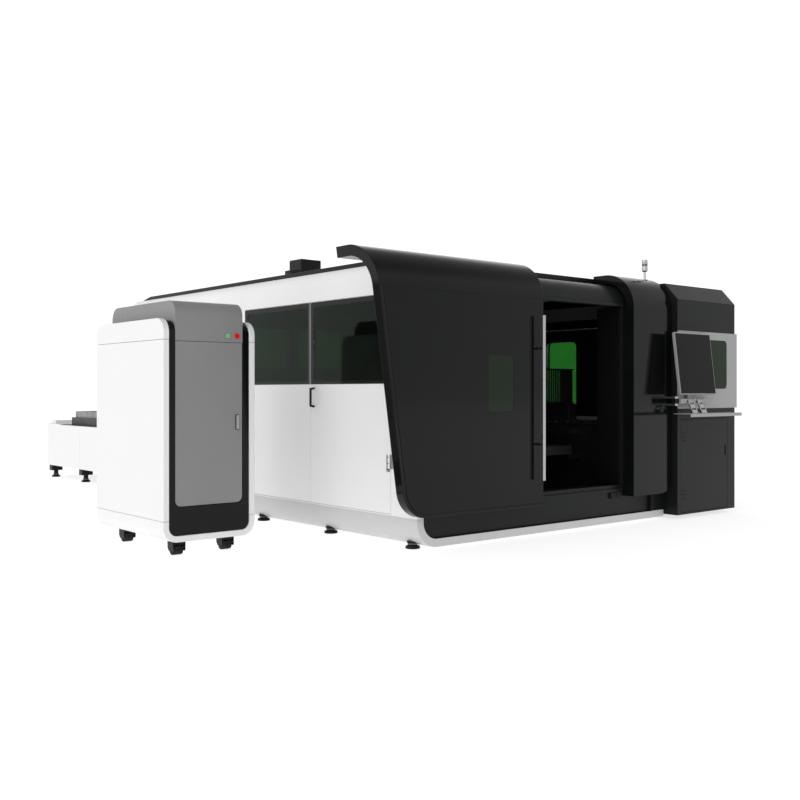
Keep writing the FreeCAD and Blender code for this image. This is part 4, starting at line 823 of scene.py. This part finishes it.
side_door("front", 1)
side_door("rear", -1)
seam = high("side_door_front").y
made(Shape().block((shell_low.x - 3, shell_low.x + 4), (seam + 4, seam + 24),
                   (1275, 1978)), "leaf_seam_strip", "rear_side_door", "strip paint", 1)
dressed("side_door_handle", "side_door_pull", "black plastic", 3)
painted_as("hinge_fittings", "bright steel")


# ---------------------------------------------------------------- feet

def feet(node, name, tall, first, step, rows, across):
    """Levelling feet in two lines: a black pad, its raised collar and a stout stem with a lock nut."""
    radius, top = 58, high(node).z
    foot = Shape().turned("z", (0, 0), [
        (radius * 0.92, 0), (radius, 4), (radius, tall * 0.6), (radius * 0.9, tall), (radius * 0.55, tall + 6),
        (radius * 0.5, top - 16), (radius * 0.8, top - 12), (radius * 0.8, top - 1)], 28)
    in_rows(name, "machine", "black plastic", foot, first, step, rows, across, 2, (node,))
    nut = Shape().turned("z", (0, 0), [(radius * 0.66, tall + 8), (radius * 0.7, tall + 10),
                                       (radius * 0.7, tall + 20), (radius * 0.66, tall + 22)], 6)
    in_rows(name + "_nuts", "machine", "strip paint", nut, first, step, rows, across, 2)


feet("machine_feet", "machine_foot_set", 22, (-1144, -3805, 0), (0, 1075, 0), 5, (2920, 0, 0))
table_feet = ((-868, 1095, 0), (0, 1068, 0), 4, (2368, 0, 0))
feet("exchange_feet", "table_foot_set", 24, *table_feet)
in_rows("table_foot_brackets", "machine", "black paint", Shape().block((-75, 75), (-50, 50), (95, 171)),
        *table_feet, 2)


# ---------------------------------------------------------------- bed, gantry and cutting head

painted_as("bed_frame", "bed paint")
painted_as("linear_rails", "bright steel")
dressed("gantry_beam", "gantry_box", "bed paint", 3)
cover_left, cover_right = box("beam_cover")
PLEATS = 68
pleat_pitch = (cover_right.x - cover_left.x) / PLEATS
# Painted highlight: a green strip on each fold stands for the window light on the pleat edges.
in_rows("pleat_edging", "gantry", "green pleat highlight",
        Shape().block((-2, 2), (-1, 1), (cover_left.z + 6, cover_right.z - 6)),
        (cover_left.x + pleat_pitch, cover_left.y, 0), (pleat_pitch, 0, 0), PLEATS - 1)
grown(ZIGZAG, "beam_bellows", "gantry", "bellows cloth", {
    "Folds": PLEATS, "Length": cover_right.x - cover_left.x, "Height": cover_right.z - cover_left.z,
    "Thickness": 2, "Fold": (0, 16, 0), "Top only": False, "Copies": 1,
    "First": ((cover_left.x + cover_right.x) / 2, cover_left.y, (cover_left.z + cover_right.z) / 2),
    "Step": (0, 0, 0)}, ("beam_cover",))
rail_span, rail_depth = (cover_left.x - 8, cover_right.x + 190), (cover_left.y - 4, cover_right.y)
made(Shape().block(rail_span, rail_depth, (cover_right.z, cover_right.z + 12)).block(
    rail_span, rail_depth, (cover_left.z - 12, cover_left.z)), "beam_cover_rails", "gantry", "black paint")
dressed("carriage", "carriage_housing", "black paint", 6, segments=3)
dressed("cutting_head", "cutting_head_body", "silver", 1.5)
in_rows("rail_bolts", "machine", "black plastic", bolt("z", 1, 6, 4),
        (-1000, -3600, 925.2), (0, 120, 0), 36, (2632, 0, 0), 2)
in_rows("bed_bolts", "machine", "strip paint", bolt("x", -1, 12, 8),
        (low("bed_frame").x, -3500, 200), (0, 300, 0), 14, (0, 0, 560), 2)


# ---------------------------------------------------------------- pallets and the exchange table

def pallet(node, body, finish):
    """A pallet: a steel frame with a raised rim round a row of toothed slats."""
    (left, front, bottom), (right, rear, top) = box(node)
    near, far, edge = (left, front), (right, rear), 45
    frame_top = bottom + edge
    rim = Shape().ring("z", around(near, far, 0, 3, 2), around(near, far, -edge, 2, 2), (bottom, frame_top))
    rim.ring("z", around(near, far, -1, 3, 2), around(near, far, -12, 2, 2), (frame_top - 1, top - 6))
    made(rim, node + "_frame", body, finish, 1, (node,))
    count = 33
    pitch = (rear - front - 2 * edge) / count
    grown(ZIGZAG, node + "_slats", body, finish, {
        "Folds": 40, "Length": right - left - 40, "Height": top - frame_top, "Thickness": 3,
        "Fold": (0, 0, -16), "Top only": True, "Copies": count,
        "First": ((left + right) / 2, front + edge + pitch / 2 - 1.5, (frame_top + top) / 2),
        "Step": (0, pitch, 0)})


pallet("pallet_upper", "upper_pallet", "slat steel")
pallet("pallet_lower", "lower_pallet", "darker slat steel")
painted_as("pallet_tracks", "bed paint")
painted_as("exchange_frame", "bed paint")
table_low, table_high = box("exchange_panels")
table_seams = [groove((side - 5, side + 5), (place, place + JOINT), (table_low.z - 5, table_high.z + 5))
               for side in (table_low.x, table_high.x) for place in (2120, 3270)]
dressed("exchange_panels", "table_skins", "white paint", 4, table_seams)
for side, face, out in (("left", table_low.x, -1), ("right", table_high.x, 1)):
    screws(f"table_skin_screws_{side}", "x", out, (face, 1100, 230), (0, 383, 0), 9, "white paint",
           (0, 0, 500), 2, radius=6)
painted_as("exchange_drive", "black plastic")


# ---------------------------------------------------------------- the control console

console_low, console_high = box("console_cabinet")
plinth = [level_groove(console_low, console_high, (-5, 39))]
dressed("console_cabinet", "console_housing", "black paint", 3, plinth)
in_rows("console_feet", "machine", "black plastic",
        Shape().turned("z", (0, 0), [(38, 0), (40, 4), (40, 12), (16, 16), (16, 42)]),
        (console_low.x + 250, console_low.y + 400, 0), (480, 0, 0), 2, (0, 300, 0), 2)
dressed("console_door", "console_door_leaf", "black paint", 1.5)
dressed("console_fascia", "console_fascia_sheet", "silver paint", 3)
painted_as("console_window", "display glass")
painted_as("drive_modules", "grey paint")
door_face = low("console_door").y
for number, height in enumerate((193, 743), 1):
    screws(f"console_hinge_screws_{number}", "y", -1, (1950, door_face, height), (0, 0, 38), 3,
           "black lining and shade paint", (37, 0, 0), 2, "console_cabinet_door", 6)
pull = ((2676, 577), (2696, 683))
slot = Shape().ring("y", around(*pull, 2, 10), around(*pull, -2, 7), (door_face - 2, door_face + 2))
made(slot, "console_pull_rim", "console_cabinet_door", "black plastic", 0.5)
# Painted shade: a near-black plate in the pull's recess stands for the shadow in it.
made(Shape().plate("y", round_rect(*pull, 9), (door_face - 0.6, door_face + 1)), "console_pull",
     "console_cabinet_door", "black lining and shade paint", 0.2)
# Painted shade: near-black blades stand for the shadow in the vent slots.
in_rows("console_vents", "machine", "black lining and shade paint", louvre("y", 6, 12, (-3900, -3600)),
        (console_high.x, 0, 300), (0, 0, 24), 16)
in_rows("console_rear_vents", "machine", "black lining and shade paint", louvre("x", 6, 12, (2150, 2600)),
        (0, console_high.y, 1500), (0, 0, 24), 14)


# ---------------------------------------------------------------- the operator's station

SWING = Vector((1756, -4195, 0))
TILT = Vector((0, -4175, 1475))
SCREEN_LEAN = math.radians(7)


def station():
    """The swing arm with its post and two slotted plates that carry the shelf."""
    bar_low, bar_high = 1100, 1145
    bar_front, bar_rear = SWING.y - 35, SWING.y + 30
    centre = SWING.x + 250
    post = (centre - 35, centre + 35)
    arm = Shape().block((SWING.x + 26, SWING.x + 560), (bar_front, bar_rear), (bar_low, bar_high))
    arm.block(post, (bar_rear - 14, bar_rear), (bar_high, TILT.z + 25))
    arm.block(post, (TILT.y - 11, bar_rear), (TILT.z - 20, TILT.z + 22))
    arm.rod("x", (TILT.y, TILT.z), (centre - 55, centre + 55), 9)
    made(arm, "swing_arm", "operator_station", "silver paint", 2, ("station_arm",))
    made(Shape().turned("z", (SWING.x, SWING.y), [(18, 1099), (18, 1146)]).block(
        (SWING.x + 10, SWING.x + 30), (SWING.y - 18, SWING.y + 18), (1104, 1141)),
        "swing_sleeve", "operator_station", "black plastic", 1)
    plate_top, plate_foot, reach = bar_high - 5, low("keyboard_tray").z + 30, 60
    for number, left in enumerate((SWING.x + 130, SWING.x + 280), 1):
        plate = Shape()
        across, whole = (left, left + 97), (0, 1.0)
        for span, shares in ((across, (0, 0.24)), (across, (0.38, 0.62)), (across, (0.76, 1.0)),
                             ((left, left + 12), whole), ((left + 85, left + 97), whole)):
            (y1, z1), (y2, z2) = [(bar_front - reach * share, plate_top - (plate_top - plate_foot) * share)
                                  for share in shares]
            plate.plate("x", [(y1, z1), (y2, z2), (y2 + 10, z2), (y1 + 10, z1)], span)
        made(plate, f"shelf_plate_{number}", "operator_station", "silver", 1)


station()
dressed("keyboard_tray", "keyboard_shelf", "silver paint", 1.5)


def monitor():
    """A flat monitor: a thin silver case round a black glass face, on two lugs at its back."""
    left, right, front, foot, top = 1716, 2296, -4275, 1185, 1770
    pivot, lean = (left, front, foot), -SCREEN_LEAN
    near, far = (left, foot), (right, top)
    opening = ((left + 9, foot + 9), (right - 3, top - 9))
    case = Shape().ring("y", around(near, far, 0, 8), around(*opening, 0, 2), (front, front + 26))
    case.plate("y", around(*opening, 1, 2), (front + 20, front + 25))
    case.plate("y", around(near, far, -60, 20), (front + 24, front + 40))
    made(case.tilted(lean, pivot), "monitor_case", "station_monitor", "silver paint", 0.8, ("monitor",))
    face = Shape().plate("y", around(*opening, -0.5, 2), (front + 1, front + 19))
    made(face.tilted(lean, pivot), "monitor_face", "station_monitor", "screen glass", 0.6)
    lugs = Shape()
    centre = (left + right) / 2
    for span in ((centre - 55, centre - 36), (centre + 36, centre + 55)):
        lugs.block(span, (TILT.y - 32, TILT.y + 13), (TILT.z - 20, TILT.z + 20))
    made(lugs, "monitor_lugs", "station_monitor", "silver", 1)
    buttons = Shape()
    for step in range(5):
        buttons.turned("y", (right - 60 - 26 * step, foot + 4.6), [(3, front - 0.6), (3, front + 2)], 12)
    made(buttons.tilted(lean, pivot), "monitor_buttons", "station_monitor", "black plastic", 0)


monitor()
made(Shape().block((SWING.x - 22, SWING.x + 22), (SWING.y - 20, SWING.y + 20), (1164, 1167)).turned(
    "z", (SWING.x, SWING.y), [(14, 1166.5), (12, 1169.5)], 6), "swing_cap", "machine", "silver")


# ---------------------------------------------------------------- the laser source cabinet

cover_seams = [level_groove(*box("source_covers"), (height, height + 3)) for height in (268, 1590)]
dressed("source_covers", "source_cover_sheet", "white paint", 4, cover_seams, segments=3)
dressed("source_bezel", "source_bezel_band", "black enamel", 3)
dressed("source_core", "source_core_housing", "grey paint", 4, segments=3)
dressed("source_door", "source_door_leaf", "grey paint", 2)
painted_as("laser_module", "grey paint")
lock_low, lock_high = box("source_lock")
plate = ((lock_low.x, lock_low.z - 2), (lock_high.x, lock_high.z + 2))
made(Shape().ring("y", around(*plate, 4, 6), around(*plate, 1, 4), (lock_high.y - 2, lock_high.y + 0.5)),
     "latch_frame", "source_cabinet_door", "black plastic", 0.4)
lock_centre, lever_face = (lock_low.x + lock_high.x) / 2, (lock_low.y + 1, lock_low.y + 6)
latch = Shape().plate("y", round_rect(lock_low.xz, lock_high.xz, 8), (lock_low.y + 4, lock_high.y - 2.4))
latch.turned("y", (lock_centre, lock_high.z - 14),
             [(7.5, lock_low.y), (8, lever_face[0]), (8, lever_face[1])], 20)
latch.plate("y", round_rect((lock_low.x + 5, lock_low.z + 8), (lock_high.x - 5, lock_high.z - 32), 5),
            lever_face)
made(latch, "source_latch_lever", "source_latch", "silver", 0.8, ("source_lock",))


def pilot(node, body, finish, radius, collar):
    """A round button or lamp with a domed cap."""
    (left, front, bottom), (right, rear, top) = box(node)
    centre = ((left + right) / 2, (bottom + top) / 2)
    cap = Shape().turned("y", centre, [
        (radius * 0.35, front), (radius * 0.75, front + 1.5), (radius, front + 6), (radius, front + 12),
        (radius * 0.8, front + 13), (radius * 0.8, rear)], 28)
    made(cap, node + "_cap", body, finish, 0, (node,))
    made(Shape().turned("y", centre, [(collar, rear - 8), (collar + 1, rear - 6), (collar + 1, rear - 1)], 28),
         node + "_collar", "machine", "silver", 0.5)


pilot("stop_button", "emergency_button", "red plastic", 20, 17)
pilot("green_lamp", "machine", "green lens", 15, 19)


def lamp():
    """The signal lamp: a pole with its foot, a ribbed silver housing, a dark red lens and a silver cap."""
    x, y = 1756, -3845
    base_low, base_high = box("lamp_base")
    lens_low, lens_high = box("lamp_lens")
    base = Shape().turned("z", (x, y), [(26, base_low.z), (26, base_low.z + 5), (11, base_low.z + 8),
                                        (11, 2358), (20, 2362), (27, 2368),
                                        (28, 2372), (28, 2405), (26, 2408),
                                        (26, base_high.z)], 36)
    made(base, "lamp_post", "machine", "silver", 0, ("lamp_base",))
    lens = Shape().turned("z", (x, y), [(25, lens_low.z)] + [
        (radius, lens_low.z + place + step) for place in range(3, 39, 6)
        for step, radius in ((0, 25.5), (2, 28), (4, 28), (5.5, 25.5))] + [(25, lens_high.z - 21)], 36)
    made(lens, "lamp_glass", "machine", "red lens", 0, ("lamp_lens",))
    cap = Shape().turned("z", (x, y), [(28, lens_high.z - 21), (28.5, lens_high.z - 19),
                                       (28.5, lens_high.z - 8), (24, lens_high.z - 2),
                                       (14, lens_high.z)], 36)
    made(cap, "lamp_cap", "machine", "silver", 0)


lamp()


def castor(number):
    """A stout castor: a swivelling housing with two pockets in its face, over a wide ribbed wheel."""
    wheel_low, wheel_high = box(f"castor_wheel_{number}")
    x, y, z = (wheel_low + wheel_high) / 2
    half, front = 50, y - 50
    top = high(f"castor_fork_{number}").z
    housing = Shape()
    housing.block((x - half - 3, x + half + 3), (front + 4, y + 38), (top - 7, top - 0.5))
    for side in (-1, 1):
        outer, inner = x + side * half, x + side * (half - 5)
        housing.plate("x", [(front, 40), (front + 8, 30), (y + 28, 30), (y + 46, 56),
                            (y + 46, top - 12), (y + 34, top - 6), (front, top - 6)],
                      sorted((outer, inner)))
    for span, heights in (((-half, half), (92, top - 6)), ((-half, half), (52, 66)),
                          ((-4, 4), (60, 96)), ((-half, -half + 8), (60, 96)),
                          ((half - 8, half), (60, 96))):
        housing.block((x + span[0], x + span[1]), (front, front + 5), heights)
    housing.block((x - half + 2, x + half - 2), (front + 8, front + 10), (78, top - 6))
    made(housing, f"castor_housing_{number}", f"castor_{number}", "black plastic", 1.5,
         (f"castor_fork_{number}",))
    radius = wheel_high.z - z
    width = half - 7
    flank = [(radius * 0.45, width), (radius * 0.5, width - 2), (radius * 0.82, width - 2),
             (radius * 0.94, width - 4), (radius, width - 9), (radius, 3), (radius * 0.9, 2)]
    wheel = Shape().turned("x", (y, z), [(share, x - out) for share, out in flank]
                           + [(share, x + out) for share, out in reversed(flank)], 36)
    made(wheel, f"castor_tyre_{number}", f"wheel_{number}", "rubber", 0, (f"castor_wheel_{number}",))


for number in range(1, 5):
    castor(number)
for side, face, out in (("left", shell_low.x, -1), ("right", shell_high.x, 1)):
    screws(f"{side}_wall_screws", "x", out, (face, -1300, 300), (0, 260, 0), 9, "white paint",
           (0, 0, 1790), 2, radius=7)
    in_rows(f"{side}_wall_louvres", "machine", "white paint", louvre("y", 9 * out, 20, (300, 700)),
            (face, 0, 1150), (0, 0, 34), 12)


# ---------------------------------------------------------------- studio, light and camera

EYE = Vector((-6.114, -9.592, 1.217))
FORWARD = Vector((0.64172, 0.76694, 0.0))
FOCAL_LENGTH = 44.36     # millimetres, on a sensor 36 mm wide
HORIZON_SHIFT = -0.01125
SKY_LIGHT = 1.12
SKY_OVERHEAD = 0.4       # what is left of the sky's light straight above
SKY_BEHIND = 0.75        # the share that is left on the side that the black panels mirror
DARK_SIDE = (0.64, -0.77, 0.0)
SUN_PLACE = Vector((-1.0, -0.15, 0.5))
SUN_STRENGTH = 0.66
SUN_SPREAD = math.radians(50)


def studio():
    """A pale floor that glows a little, a white sky that darkens overhead, and one soft light from the left."""
    bpy.ops.mesh.primitive_plane_add(size=120, location=(0, 0, -0.5 * MM))
    floor = bpy.context.object
    floor.name = "studio_ground"
    floor.data.materials.append(studio_floor())
    world = bpy.data.worlds.new("white_studio")
    world.use_nodes = True
    tree = world.node_tree
    way = add(tree, "ShaderNodeTexCoord").outputs["Generated"]
    height = add(tree, "ShaderNodeSeparateXYZ", {"Vector": way}).outputs["Z"]
    overhead = add(tree, "ShaderNodeMapRange",
                   {"Value": height, "From Min": 0.42, "From Max": 0.75,
                    "To Min": SKY_LIGHT, "To Max": SKY_OVERHEAD}, interpolation_type="SMOOTHSTEP")
    ahead = add(tree, "ShaderNodeVectorMath", {0: way, 1: DARK_SIDE}, operation="DOT_PRODUCT").outputs["Value"]
    side = add(tree, "ShaderNodeMapRange",
               {"Value": ahead, "From Min": 0.1, "From Max": 0.8,
                "To Min": 1.0, "To Max": SKY_BEHIND}, interpolation_type="SMOOTHSTEP")
    strength = add(tree, "ShaderNodeMath", {0: overhead.outputs["Result"], 1: side.outputs["Result"]},
                   operation="MULTIPLY")
    tree.links.new(strength.outputs[0], tree.nodes["Background"].inputs["Strength"])
    tree.nodes["Background"].inputs["Color"].default_value = (1.0, 1.0, 1.0, 1.0)
    bpy.context.scene.world = world
    light = bpy.data.lights.new("soft_sun", "SUN")
    light.energy = SUN_STRENGTH
    light.angle = SUN_SPREAD
    sun = bpy.data.objects.new("soft_sun", light)
    sun.rotation_euler = (-SUN_PLACE).to_track_quat("-Z", "Y").to_euler()
    bpy.context.scene.collection.objects.link(sun)


def camera():
    """The photograph's view: level, from the front left."""
    lens = bpy.data.cameras.new("view")
    lens.lens = FOCAL_LENGTH
    lens.sensor_width = 36.0
    lens.shift_y = HORIZON_SHIFT
    lens.clip_end = 200.0
    eye = bpy.data.objects.new("view", lens)
    eye.location = EYE
    eye.rotation_euler = FORWARD.to_track_quat("-Z", "Y").to_euler()
    bpy.context.scene.collection.objects.link(eye)
    bpy.context.scene.camera = eye


studio()
camera()
bpy.context.scene.view_settings.view_transform = "Standard"
